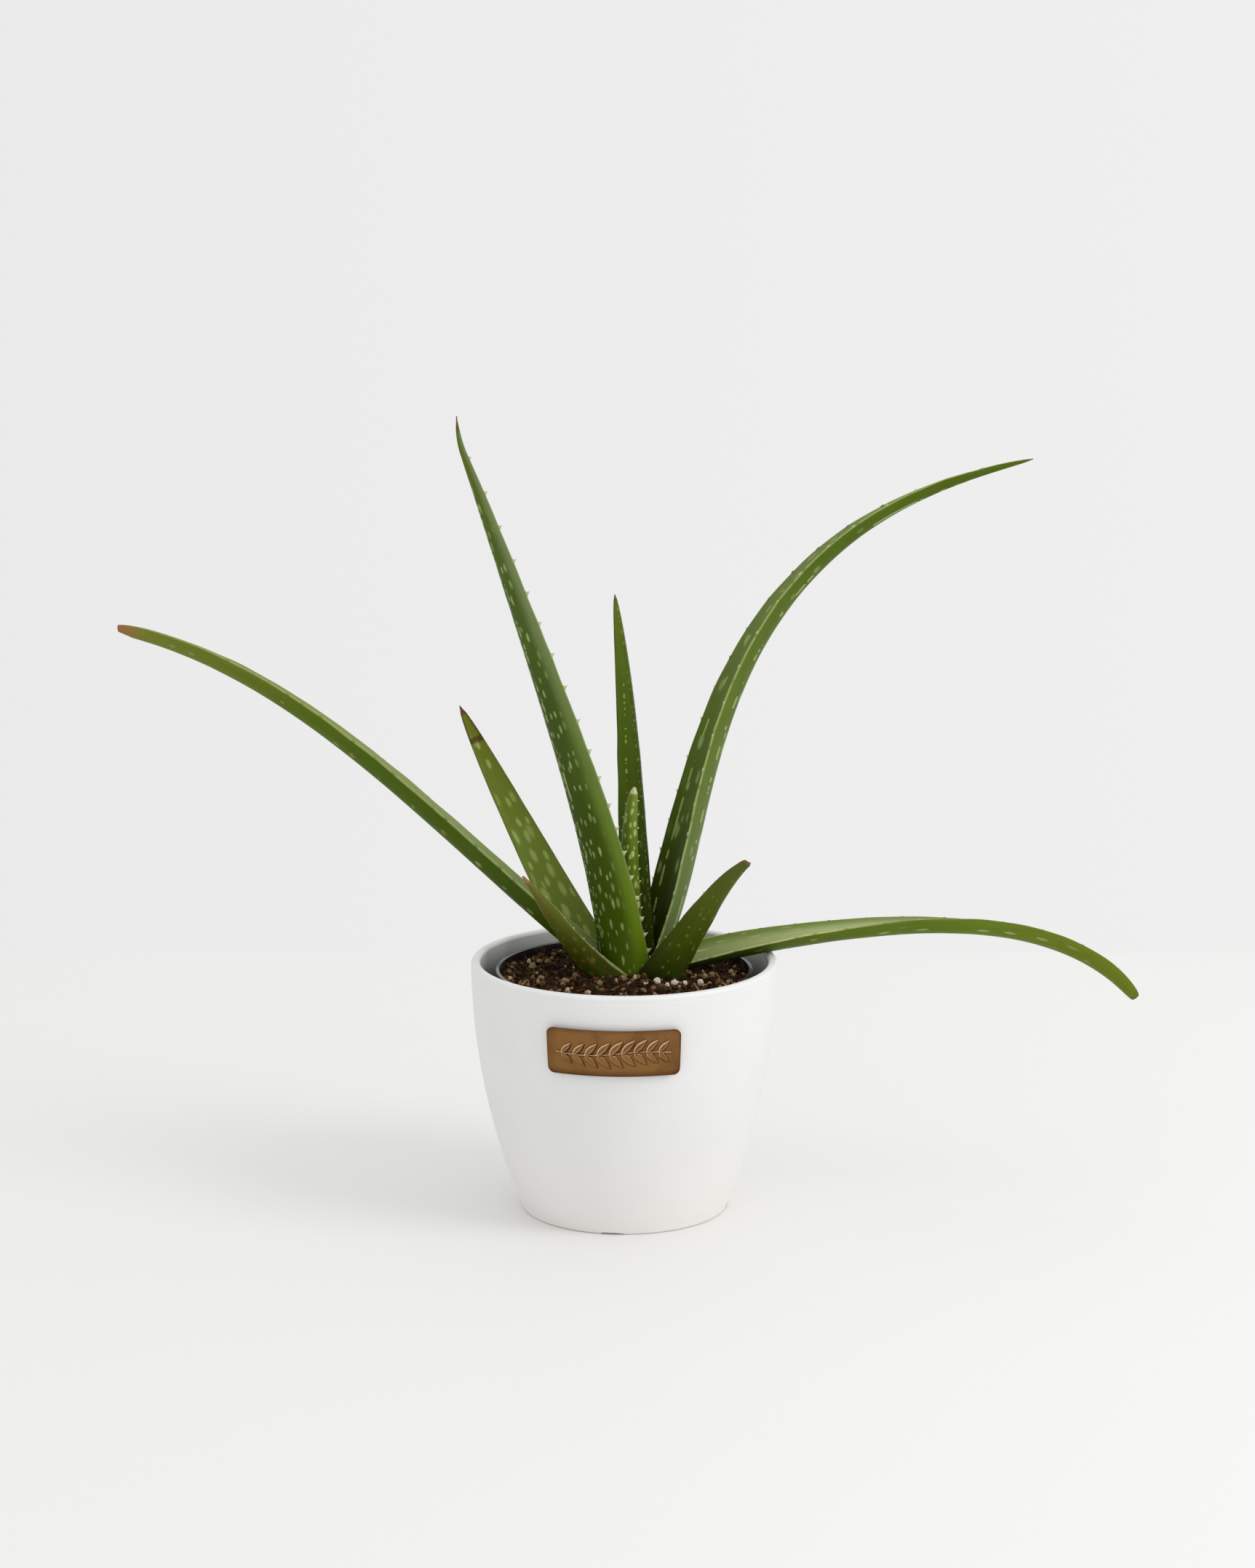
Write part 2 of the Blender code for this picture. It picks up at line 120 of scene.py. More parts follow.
class Tree:
    def __init__(self, nodeTree):
        self.tree = nodeTree

    def node(self, kind, settings=None, inputs=None, output=0):
        made = self.tree.nodes.new(kind)
        for name, value in (settings or {}).items():
            if name == "stops":
                self.setStops(made.color_ramp, value)
            else:
                setattr(made, name, value)
        for name, value in (inputs or {}).items():
            self.plug(value, made.inputs[name])
        return Value(self, made.outputs[output]) if len(made.outputs) else None

    def plug(self, value, socket):
        if isinstance(value, Value):
            self.tree.links.new(value.socket, socket)
        elif socket.type == "RGBA" and len(value) == 3:
            socket.default_value = (*value, 1)
        else:
            socket.default_value = value

    def setStops(self, ramp, stops):
        while len(ramp.elements) < len(stops):
            ramp.elements.new(0.5)
        for element, (place, colour) in zip(ramp.elements, stops):
            element.position = place
            element.color = (*colour, 1)

    def maths(self, operation, *values, clamp=False):
        return self.node("ShaderNodeMath", {"operation": operation, "use_clamp": clamp},
                         dict(enumerate(values)))

    def smooth(self, value, low, high):
        return self.node("ShaderNodeMapRange", {"interpolation_type": "SMOOTHSTEP"},
                         {"Value": value, "From Min": low, "From Max": high})

    def split(self, vector):
        x = self.node("ShaderNodeSeparateXYZ", None, {0: vector})
        return x, x.of(1), x.of(2)

    def join(self, x=0.0, y=0.0, z=0.0):
        return self.node("ShaderNodeCombineXYZ", None, {0: x, 1: y, 2: z})

    def scaled(self, vector, factors):
        return self.node("ShaderNodeVectorMath", {"operation": "MULTIPLY"}, {0: vector, 1: factors})

    def mix(self, factor, first, second, how="MIX"):
        return self.node("ShaderNodeMix", {"data_type": "RGBA", "blend_type": how},
                         {0: factor, 6: first, 7: second}, 2)

    def shade(self, colour, amount):
        # Makes a colour lighter or darker without greying it.
        return self.mix(1.0, colour, amount, "MULTIPLY")

    def ramp(self, value, stops):
        return self.node("ShaderNodeValToRGB", {"stops": stops}, {0: value})

    def place(self):
        return self.node("ShaderNodeTexCoord", None, None, "Object")

    def attribute(self, name):
        return self.node("ShaderNodeAttribute", {"attribute_name": name}, None, "Vector")

    def noise(self, vector, scale, detail=2.0, rough=0.5):
        return self.node("ShaderNodeTexNoise", None,
                         {"Vector": vector, "Scale": scale, "Detail": detail, "Roughness": rough})

    def cells(self, vector, scale):
        return self.node("ShaderNodeTexVoronoi", None, {"Vector": vector, "Scale": scale})

    def bump(self, height, distance, strength=1.0):
        return self.node("ShaderNodeBump", None,
                         {"Height": height, "Distance": distance, "Strength": strength})


def paint(red, green, blue):
    # A display tone from 0 to 255, as the shader wants it.
    return tuple((part / 255 / 12.92) if part < 10.3 else ((part / 255 + 0.055) / 1.055) ** 2.4
                 for part in (red, green, blue))


def newFinish(name, build, gloss=0.5):
    # build gets the tree and gives what changes over the surface. gloss is how strongly the surface mirrors.
    material = bpy.data.materials.new(name)
    material.use_nodes = True
    material.node_tree.nodes.clear()
    tree = Tree(material.node_tree)
    shader = tree.node("ShaderNodeBsdfPrincipled", None, {"Specular IOR Level": gloss})
    tree.node("ShaderNodeOutputMaterial", None, {"Surface": shader})
    for socket, value in build(tree).items():
        tree.plug(value, shader.socket.node.inputs[socket])
    return material


# Meshes


def addVectors(mesh, attributes):
    for key, values in attributes.items():
        layer = mesh.attributes.new(key, "FLOAT_VECTOR", "POINT")
        layer.data.foreach_set("vector", [part for value in values for part in value])


def newPiece(name, points, faces, material, attributes=None, sharpAngle=None):
    mesh = bpy.data.meshes.new(name)
    mesh.from_pydata(points, [], faces)
    shell = bmesh.new()
    shell.from_mesh(mesh)
    bmesh.ops.recalc_face_normals(shell, faces=shell.faces)
    shell.to_mesh(mesh)
    shell.free()
    addVectors(mesh, attributes or {})
    mesh.shade_smooth()
    if sharpAngle:
        mesh.set_sharp_from_angle(angle=math.radians(sharpAngle))
    mesh.materials.append(material)
    return linked(name, mesh)


def settled(piece):
    # The piece as its modifiers make it, as a plain mesh.
    graph = bpy.context.evaluated_depsgraph_get()
    mesh = bpy.data.meshes.new_from_object(piece.evaluated_get(graph))
    piece.modifiers.clear()
    piece.data = mesh
    mesh.name = piece.name
    return piece


def seat(piece, slot, *nodes):
    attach(piece, "root")
    if nodes:
        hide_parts(*nodes)


def newGroup(name, inputs, output):
    # A geometry tree with named inputs: gives the tree, its input node and its input sockets by label.
    group = bpy.data.node_groups.new(name, "GeometryNodeTree")
    sockets = {}
    for label, kind in inputs.items():
        sockets[label] = group.interface.new_socket(label, in_out="INPUT", socket_type="NodeSocket" + kind)
    group.interface.new_socket(output, in_out="OUTPUT", socket_type="NodeSocketGeometry")
    tree = Tree(group)
    return tree, tree.node("NodeGroupInput"), sockets


def grow(piece, tree, sockets, values):
    # Makes a piece what a geometry tree makes of it, as a plain mesh.
    modifier = piece.modifiers.new("grow", "NODES")
    modifier.node_group = tree.tree
    for label, value in values.items():
        modifier[sockets[label].identifier] = value
    settled(piece)
    piece.data.shade_smooth()


def onCircle(radius, angle, height):
    return Vector((radius * math.cos(angle), radius * math.sin(angle), height))


def lathe(name, profile, segments, material, sharpAngle, change=None):
    # Turns (radius, height) pairs round the Z axis. change may move a point, given the point and its angle.
    points, rows = [], []
    for radius, height in profile:
        if radius == 0:
            rows.append([len(points)] * segments)
            points.append((0, 0, height))
            continue
        rows.append(list(range(len(points), len(points) + segments)))
        for i in range(segments):
            angle = math.tau * i / segments
            point = onCircle(radius, angle, height)
            points.append(change(point, angle) if change else point)
    faces = []
    for low, high in zip(rows, rows[1:]):
        for i in range(segments):
            j = (i + 1) % segments
            corners = [low[i], low[j], high[j], high[i]]
            faces.append(list(dict.fromkeys(corners)))  # three corners at a pole
    return newPiece(name, points, faces, material, sharpAngle=sharpAngle)


def corner(centre, radius, start, end, steps):
    angles = [math.radians(start + (end - start) * i / steps) for i in range(steps + 1)]
    return [(centre[0] + radius * math.cos(a), centre[1] + radius * math.sin(a)) for a in angles]


# Outer pot

outerPot = {
    "footRadius": 42.3, "wall": 3, "floor": 3, "floorCorner": 3, "floorInset": 2, "lipWidth": 3.8,
    "lipDepth": 5, "lipRounding": 1.5, "footHeight": 1.5, "footWidth": 5, "footRounding": 1.2,
    "footSlope": 0.5, "notches": 4, "notchWidth": 8, "notchHeight": 0.8, "notchAngle": 263, "creaseDrop": 2.7,
    "creaseDepth": 0.07, "innerSteps": 24, "outerSteps": 30, "segments": 224, "sharpAngle": 38,
}


def wallRadius(height):
    flare = potRadius - outerPot["footRadius"] * mm
    bow = (potTop**2 + flare**2) / (2 * flare)
    return potRadius - bow + math.sqrt(bow**2 - (potTop - height) ** 2)


def wallLine(start, end, steps, inset=0):
    heights = [start + (end - start) * i / steps for i in range(steps + 1)]
    return [(wallRadius(height) - inset, height) for height in heights]


def whitePlastic(tree):
    place = tree.place()
    x, y, height = tree.split(place)
    cloud = tree.noise(place, 38, 3)
    speck = tree.noise(place, 2600, 1)
    grain = tree.noise(place, 900, 3)
    scuff = tree.smooth(tree.noise(tree.scaled(place, (1, 1, 0.25)), 60, 4, 0.65), 0.6, 0.78)
    dust = tree.smooth(height, 6 * mm, 0) * cloud
    colour = tree.mix(cloud, (0.77, 0.77, 0.775), (0.82, 0.82, 0.825))
    colour = tree.mix(dust * 0.35, colour, (0.58, 0.55, 0.50))
    # Painted light: the wall is lighter and warmer towards the foot, painted bounce light from the floor.
    colour = tree.mix(tree.smooth(height, 48 * mm, 0) * 0.6, colour, (0.86, 0.83, 0.79))  # warmer foot
    # Painted shade: the inside wall gets darker from the lip down.
    radius = (x * x + y * y) ** 0.5
    inside = tree.smooth(radius, potRadius - 2.4 * mm, potRadius - 3.4 * mm)
    inside = inside * tree.smooth(height, potTop - 27 * mm, potTop - 23 * mm)
    deep = tree.smooth(height, potTop - 1 * mm, potTop - 13 * mm)
    colour = tree.mix(inside * deep * 0.7, colour, (0.20, 0.19, 0.165))
    return {
        "Base Color": colour,
        "Roughness": 0.42 + 0.1 * cloud + 0.12 * scuff,
        "Normal": tree.bump(grain * 0.7 + speck * 0.3, 0.00003, 0.6),
    }


def makeOuterPot():
    size = {key: value * mm for key, value in outerPot.items()}
    floorTop, wall = size["footHeight"] + size["floor"], size["wall"]
    rounding, bottom = size["lipRounding"], size["footRounding"]
    profile = [(0, floorTop), (wallRadius(floorTop) - wall - size["floorInset"], floorTop)]
    low, high = floorTop + size["floorCorner"], potTop - size["lipDepth"]
    profile += wallLine(low, high, outerPot["innerSteps"], wall)
    innerLip = potRadius - size["lipWidth"]
    profile += corner((innerLip + rounding, potTop - rounding), rounding, 180, 90, 10)
    profile += corner((potRadius - rounding, potTop - rounding), rounding, 90, 0, 10)
    crease = potTop - size["creaseDrop"]
    for step, depth in ((0.34, 0), (0.16, 0.5), (0, 1), (-0.16, 0.5), (-0.34, 0)):
        height = crease + step * mm
        profile.append((wallRadius(height) - depth * size["creaseDepth"], height))
    profile += wallLine(crease - mm, bottom, outerPot["outerSteps"])
    profile += corner((wallRadius(bottom) - bottom, bottom), bottom, -20, -90, 6)
    footInner = wallRadius(0) - bottom - size["footWidth"]
    profile += [(footInner, 0), (footInner - size["footSlope"], size["footHeight"]), (0, size["footHeight"])]

    def notch(point, angle):
        step = math.tau / outerPot["notches"]
        turn = (angle - math.radians(outerPot["notchAngle"])) % step
        fromMiddle = min(turn, step - turn) * math.hypot(point.x, point.y)
        if fromMiddle < size["notchWidth"] / 2 and point.z < size["notchHeight"]:
            point.z = size["notchHeight"]
        return point

    plastic = newFinish("whitePlastic", whitePlastic, gloss=0.4)
    pot = lathe("outer_pot_shell", profile, outerPot["segments"], plastic, outerPot["sharpAngle"], notch)
    seat(pot, "white_plastic", "outer_pot")


makeOuterPot()
print("outer pot made")


# Grow pot

growPot = {
    "baseRadius": 36, "floorFit": 0.1, "wall": 0.9, "lipWidth": 1.6, "lipHeight": 1.5, "lipRounding": 0.35,
    "bandHeight": 11, "bandStep": 1.2, "drains": 6, "drainRadius": 4, "drainInset": 11, "drainSegments": 32,
    "segments": 192, "sharpAngle": 35,
}


def blackPlastic(tree):
    place = tree.place()
    cloud = tree.noise(place, 70, 3)
    grit = tree.noise(place, 700, 2)
    dust = tree.smooth(cloud * 0.6 + grit * 0.4, 0.5, 0.68)
    colour = tree.mix(dust * 0.5, (0.012, 0.010, 0.014), (0.075, 0.052, 0.040))
    return {"Base Color": colour, "Roughness": 0.2 + 0.35 * dust, "Normal": tree.bump(grit, 0.00004, 0.5)}


def makeGrowPot():
    size = {key: value * mm for key, value in growPot.items()}
    wall, foot, base = size["wall"], growLow.z, size["baseRadius"]
    band, step = growTop - size["bandHeight"], size["bandStep"]
    bandRadius = growRadius - size["lipWidth"] + wall
    rounding, lipBottom = size["lipRounding"], growTop - size["lipHeight"]
    profile = [(0, foot + wall), (base + size["floorFit"] - wall, foot + wall)]
    profile += [(bandRadius - step - wall, band - mm), (bandRadius - wall, band)]
    profile += corner((bandRadius - wall + rounding, growTop - rounding), rounding, 180, 90, 5)
    profile += corner((growRadius - rounding, growTop - rounding), rounding, 90, 0, 5)
    profile += corner((growRadius - rounding, lipBottom + rounding), rounding, 0, -90, 4)
    profile += [(bandRadius, lipBottom), (bandRadius, band), (bandRadius - step, band - mm)]
    profile += [(base, foot), (0, foot)]
    plastic = newFinish("blackPlastic", blackPlastic, gloss=0.6)
    pot = lathe("grow_pot_shell", profile, growPot["segments"], plastic, growPot["sharpAngle"])
    drills, radius = bmesh.new(), size["drainRadius"]
    for i in range(growPot["drains"]):
        made = bmesh.ops.create_cone(drills, cap_ends=True, segments=growPot["drainSegments"], radius1=radius,
                                     radius2=radius, depth=6 * wall)
        centre = onCircle(base - size["drainInset"], i * math.tau / growPot["drains"], foot)
        bmesh.ops.translate(drills, verts=made["verts"], vec=centre)
    drillMesh = bpy.data.meshes.new("drainDrills")
    drills.to_mesh(drillMesh)
    drills.free()
    drill = linked("drainDrills", drillMesh)
    cut = pot.modifiers.new("drains", "BOOLEAN")
    cut.object = drill
    cut.operation = "DIFFERENCE"
    settled(pot)
    bpy.data.objects.remove(drill)
    seat(pot, "black_plastic", "grow_pot")


makeGrowPot()
print("grow pot made")


# Potting mix

soilBed = {
    "drop": 3.2, "dome": 2.0, "rings": 110, "segments": 260, "lump": 1.1, "lumpsPerMetre": 150, "crumb": 0.55,
    "crumbsPerMetre": 520, "shoulder": 10, "bevel": 1.2, "bevelDepth": 12, "gloss": 0.05,
}
# Loose grains: their slot, tones from dark to pale, dust, how many lie on a square metre, how rough they
# are, how deep they sink in mm, the seed of their places, and the smallest and largest in mm.
mixGrains = {
    "soil_crumbs": dict(
        slot="potting_mix", dust=(0.026, 0.014, 0.006), dustScale=900, density=150000.0, rough=1.0,
        sink=0.1, seed=3, smallest=(0.7, 0.7, 0.5), largest=(3.7, 3.0, 2.3),
        tones=[(0, (0.008, 0.004, 0.0015)), (0.5, (0.024, 0.013, 0.005)), (0.85, (0.056, 0.031, 0.012)),
               (1, (0.12, 0.072, 0.030))]),
    "bark_chips": dict(
        slot="potting_mix", dust=(0.05, 0.022, 0.010), dustScale=700, density=30000.0, rough=0.6,
        sink=-0.2, seed=11, smallest=(1.4, 0.8, 0.5), largest=(5.6, 2.4, 1.4),
        tones=[(0, (0.045, 0.014, 0.005)), (0.5, (0.10, 0.036, 0.014)), (0.8, (0.17, 0.075, 0.030)),
               (1, (0.28, 0.16, 0.075))]),
    "tan_lumps": dict(
        slot="potting_mix", dust=(0.13, 0.075, 0.034), dustScale=800, density=17000.0, rough=0.9,
        sink=-0.2, seed=41, smallest=(1.0, 1.0, 0.8), largest=(3.8, 3.2, 2.4),
        tones=[(0, (0.13, 0.080, 0.036)), (0.5, (0.26, 0.17, 0.085)), (0.8, (0.40, 0.29, 0.16)),
               (1, (0.50, 0.40, 0.26))]),
    "pale_grit": dict(
        slot="pumice", dust=(0.26, 0.17, 0.09), dustScale=1300, density=11000.0, rough=0.7,
        sink=-0.3, seed=23, smallest=(0.5, 0.5, 0.4), largest=(1.9, 1.6, 1.3),
        tones=[(0, (0.16, 0.10, 0.05)), (0.4, (0.34, 0.24, 0.13)), (0.8, (0.50, 0.40, 0.26)),
               (1, (0.64, 0.56, 0.45))]),
}
mixLow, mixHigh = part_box("potting_mix")
mixRadius = (mixHigh.x - mixLow.x) / 2


def mixHeight(x, y):
    share = min(1, math.hypot(x, y) / mixRadius)
    level = growTop - soilBed["drop"] * mm + soilBed["dome"] * mm * math.cos(share * math.pi / 2) ** 2
    lumps = noise.noise(Vector((x, y, 3 * mm)) * soilBed["lumpsPerMetre"]) * soilBed["lump"] * mm
    crumbs = noise.noise(Vector((x, y, 9 * mm)) * soilBed["crumbsPerMetre"]) * soilBed["crumb"] * mm
    return level + (lumps + crumbs) * (0.45 + 0.55 * min(1, (1 - share) * 8))


def peat(tree):
    place = tree.place()
    cloud = tree.noise(place, 90, 4)
    crumb = tree.cells(place, 620)
    tone = tree.split(crumb.of("Color"))[0]
    colour = tree.ramp(tone, [(0.0, (0.008, 0.004, 0.002)), (0.55, (0.022, 0.013, 0.006)),
                              (0.85, (0.042, 0.024, 0.010)), (1.0, (0.10, 0.060, 0.026))])
    colour = tree.mix(tree.smooth(cloud, 0.4, 0.7) * 0.4, colour, (0.028, 0.013, 0.007))
    fibre = tree.noise(tree.scaled(place, (1, 3.5, 1)), 700, 3)
    return {
        "Base Color": colour,
        "Roughness": 0.86 + 0.1 * cloud,
        "Normal": tree.bump(crumb * 0.7 + fibre * 0.5, 0.0005, 0.9),
    }


def grainColour(grain):
    def build(tree):
        tone = tree.split(tree.attribute("tone"))[0]
        speck = tree.noise(tree.place(), grain["dustScale"], 4, 0.6)
        colour = tree.ramp(tone, grain["tones"])
        return {
            "Base Color": tree.mix(tree.smooth(speck, 0.45, 0.72) * 0.55, colour, grain["dust"]),
            "Roughness": 0.8 + 0.15 * speck,
            "Normal": tree.bump(speck, 0.00035, 0.8),
        }
    return build


def scatterTree():
    # Grains on the faces of a mesh. Each grain is one of three rough pebbles, turned and stretched by chance.
    tree, given, sockets = newGroup("scatterGrains", {
        "Mesh": "Geometry", "Per square metre": "Float", "Smallest": "Vector", "Largest": "Vector",
        "Roughness": "Float", "Sink": "Float", "Seed": "Int", "Finish": "Material"}, "Grains")

    def chance(step, low, high):
        return tree.node("FunctionNodeRandomValue", {"data_type": "FLOAT_VECTOR"},
                         {0: low, 1: high, "Seed": given.of("Seed") + step})

    points = tree.node("GeometryNodeDistributePointsOnFaces", None, {
        "Mesh": given.of("Mesh"), "Density": given.of("Per square metre"), "Seed": given.of("Seed")})
    pebbles = tree.node("GeometryNodeJoinGeometry")
    for i in range(3):
        ball = tree.node("GeometryNodeMeshUVSphere", None, {"Radius": 0.5, "Segments": 8, "Rings": 6})
        rough = tree.node("ShaderNodeTexNoise", {"noise_dimensions": "4D"},
                          {"W": 3.7 * i, "Scale": 2.3, "Detail": 2.0})
        push = tree.node("ShaderNodeVectorMath", {"operation": "SCALE"}, {
            0: tree.node("GeometryNodeInputNormal"), "Scale": (rough - 0.5) * given.of("Roughness")})
        ball = tree.node("GeometryNodeSetPosition", None, {"Geometry": ball, "Offset": push})
        ball = tree.node("GeometryNodeGeometryToInstance", None, {0: ball})
        tree.plug(ball, pebbles.socket.node.inputs[0])
    turn = chance(1, (0, 0, 0), (math.tau, math.tau, math.tau))
    stretch = chance(2, given.of("Smallest"), given.of("Largest"))
    tone = chance(3, (0, 0, 0), (1, 1, 1))
    grains = tree.node("GeometryNodeInstanceOnPoints", None, {
        "Points": points, "Instance": pebbles, "Pick Instance": True, "Rotation": turn, "Scale": stretch})
    grains = tree.node("GeometryNodeStoreNamedAttribute", {"data_type": "FLOAT_VECTOR", "domain": "INSTANCE"},
                       {"Geometry": grains, "Name": "tone", "Value": tone})
    grains = tree.node("GeometryNodeRealizeInstances", None, {0: grains})
    grains = tree.node("GeometryNodeSetPosition", None,
                       {"Geometry": grains, "Offset": tree.join(0.0, 0.0, -given.of("Sink"))})
    grains = tree.node("GeometryNodeSetMaterial", None, {"Geometry": grains, "Material": given.of("Finish")})
    tree.node("NodeGroupOutput", None, {"Grains": grains})
    return tree, sockets


def scatter(name, bed, tree, sockets):
    grain = mixGrains[name]
    piece = linked(name, bed.data.copy())
    grow(piece, tree, sockets, {
        "Per square metre": grain["density"], "Smallest": tuple(part * mm for part in grain["smallest"]),
        "Largest": tuple(part * mm for part in grain["largest"]), "Roughness": grain["rough"],
        "Sink": grain["sink"] * mm, "Seed": grain["seed"],
        "Finish": newFinish(name + "Finish", grainColour(grain), soilBed["gloss"])})
    seat(piece, grain["slot"])
    print(name, len(piece.data.polygons), "faces")


def makeSoil():
    rings, segments = soilBed["rings"], soilBed["segments"]
    points, faces = [(0, 0, mixHeight(0, 0))], []
    for ring in range(1, rings + 1):
        radius = mixRadius * ring / rings
        for i in range(segments):
            angle = math.tau * i / segments
            x, y = radius * math.cos(angle), radius * math.sin(angle)
            points.append((x, y, mixHeight(x, y)))
    for i in range(segments):
        j = (i + 1) % segments
        faces.append((0, 1 + i, 1 + j))
        for ring in range(rings - 1):
            low = 1 + ring * segments
            faces.append((low + i, low + segments + i, low + segments + j, low + j))
    topFaces = len(faces)
    # Side and bottom, inside the grow pot.
    last, bevel = len(points) - segments, soilBed["bevel"] * mm
    for radius, height in ((mixRadius, growTop - soilBed["shoulder"] * mm),
                           (mixRadius - bevel, growTop - soilBed["bevelDepth"] * mm),
                           (growPot["baseRadius"] * mm - bevel, mixLow.z)):
        start = len(points)
        for i in range(segments):
            points.append(onCircle(radius, math.tau * i / segments, height))
            faces.append((last + i, start + i, start + (i + 1) % segments, last + (i + 1) % segments))
        last = start
    points.append((0, 0, mixLow.z))
    faces += [(last + (i + 1) % segments, last + i, len(points) - 1) for i in range(segments)]
    soil = newPiece("soil_bed", points, faces, newFinish("peat", peat, soilBed["gloss"]))
    seat(soil, "potting_mix", "potting_mix")

    bed = newPiece("scatterBed", points, faces[:topFaces], soil.data.materials[0])
    tree, sockets = scatterTree()
    for name in mixGrains:
        scatter(name, bed, tree, sockets)
    bpy.data.objects.remove(bed)


makeSoil()
print("potting mix made")


# Pumice stones, on the mix: the first few are paler, and each lies a little lower than its CAD solid.

pumiceStones = {"pale": 5, "sink": 0.45, "subdivisions": 4, "gloss": 0.2}


def pumiceFinish(tree):
    place = tree.place()
    cloud = tree.noise(place, 320, 3)
    pits = tree.cells(place, 2100)
    tan = tree.mix(cloud, (0.12, 0.070, 0.030), (0.36, 0.25, 0.14))
    cream = tree.mix(cloud, (0.56, 0.44, 0.35), (0.80, 0.72, 0.65))
    colour = tree.mix(tree.split(tree.attribute("pale"))[0], tan, cream)
    return {
        "Base Color": tree.mix(tree.smooth(pits, 0.35, 0.05) * 0.55, colour, (0.22, 0.14, 0.08)),
        "Roughness": 0.82 + 0.1 * cloud,
        "Normal": tree.bump(pits + cloud * 0.6, 0.0003, 0.8),
    }


def makeStones():
    names = sorted(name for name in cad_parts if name.startswith("pumice_"))
    points, faces, pale = [], [], []
    sink = Vector((0, 0, pumiceStones["sink"] * mm))
    for number, name in enumerate(names):
        low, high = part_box(name)
        middle, half, shift = (low + high) / 2, (high - low) / 2, number * 5
        ball = bmesh.new()
        bmesh.ops.create_icosphere(ball, subdivisions=pumiceStones["subdivisions"], radius=1)
        start = len(points)
        for vert in ball.verts:
            way = vert.co.normalized()
            lumps = 0.86 + 0.2 * noise.noise(way * 1.3 + Vector((shift, 0, 0)))
            lumps += 0.1 * noise.noise(way * 3.4 + Vector((0, shift, 0)))
            lumps -= 0.05 * abs(noise.noise(way * 9 + Vector((0, 0, shift))))
            points.append(middle + way * half * lumps - sink)
            pale.append((number < pumiceStones["pale"], 0, 0))
        faces += [[start + vert.index for vert in face.verts] for face in ball.faces]
        ball.free()
    finish = newFinish("pumiceStone", pumiceFinish, pumiceStones["gloss"])
    seat(newPiece("pumice_stones", points, faces, finish, {"pale": pale}), "pumice", *names)


makeStones()
print("pumice stones made")


# Leaves, in mm and degrees. base is x, y and the height above the grow pot's rim where the midrib meets the
# mix. azimuth is the way a leaf leans, sweep how far that turns, rise its angle at four places, twist how
# far the blade turns on itself, faces the way its outer side looks at the base, and curl how far its
# margins stand up. taper is how fast it narrows, tip the share that a blunt end lacks, neck how much
# narrower the base is, root how far it goes on below the base, tipTurn how far its last bit bends up, and
# ragged how uneven its margins are.

leafShapes = {
    "leaf_heart": dict(
        base=(4, 2.5, -2), azimuth=205, sweep=0, length=77.5, rise=(84, 92, 83, 102), faces=267, width=9.8,
        thickness=2.6, taper=0.31, curl=0.45, twist=3),
    "leaf_centre": dict(
        base=(7.9, 8, -2.8), azimuth=107, sweep=6, length=156, rise=(76, 89.5, 76, 68.5), faces=66,
        width=16.5, thickness=5.5, taper=0.55, curl=0.56, twist=-17),
    "leaf_tall": dict(
        base=(-0.2, -0.5, -3.3), azimuth=215, sweep=12, length=252.5, rise=(83, 61, 70.5, 62.5), faces=254,
        width=21.5, thickness=6, taper=0.66, curl=0.27, twist=-31, tipTurn=27),
    "leaf_arched": dict(
        base=(9.3, 5, 0.6), azimuth=35, sweep=-30, length=284, rise=(60.5, 107.5, 21, 11.5), faces=31,
        width=22.8, thickness=7.5, taper=0.6, curl=0.46, twist=-31, neck=0.4),
    "leaf_short_left": dict(
        base=(-10.1, 12, -4.7), azimuth=140, sweep=-4, length=130, rise=(48.5, 54.5, 51, 53.5), faces=105,
        width=19, thickness=5, taper=0.57, curl=0.3, twist=0, neck=0.5),
    "leaf_long_left": dict(
        base=(-3.9, 1.5, -1.6), azimuth=171.5, sweep=-8.5, length=256, rise=(37.5, 45.5, 40, 6.5), faces=175,
        width=15.7, thickness=5.8, taper=0.19, curl=0.42, twist=7),
    "leaf_long_right": dict(
        base=(13.7, 4.5, -0.9), azimuth=10.7, sweep=-22, length=208.5, rise=(15, 0, 20.5, -52), faces=17,
        width=16.2, thickness=4.9, taper=0.21, curl=0.39, twist=-62, neck=0.35, root=2),
    "leaf_front_left": dict(
        base=(-5.3, -5.5, -6), azimuth=206, sweep=5, length=64.5, rise=(41, 53, 60, 50.5), faces=235,
        width=15.3, thickness=3.6, taper=0.77, tip=0.05, curl=0.3, twist=0, ragged=0.05),
    "leaf_short_right": dict(
        base=(14.5, -6.5, -4.3), azimuth=-25, sweep=-3, length=67.5, rise=(59, 52, 66, 38), faces=-76,
        width=18.2, thickness=4.5, taper=0.66, tip=0.11, curl=0.3, twist=17, ragged=0.07),
}
usualShape = dict(tip=0, neck=0, root=5, tipTurn=0, ragged=0.02)
bladeMesh = {
    "stations": 150, "crowding": 1.4, "ring": 40, "tipTurnShare": 0.06, "neckShare": 0.16,
    "tipHalfWidth": 0.3, "innerShare": 0.12, "wave": 0.25, "cap": 0.3,
}
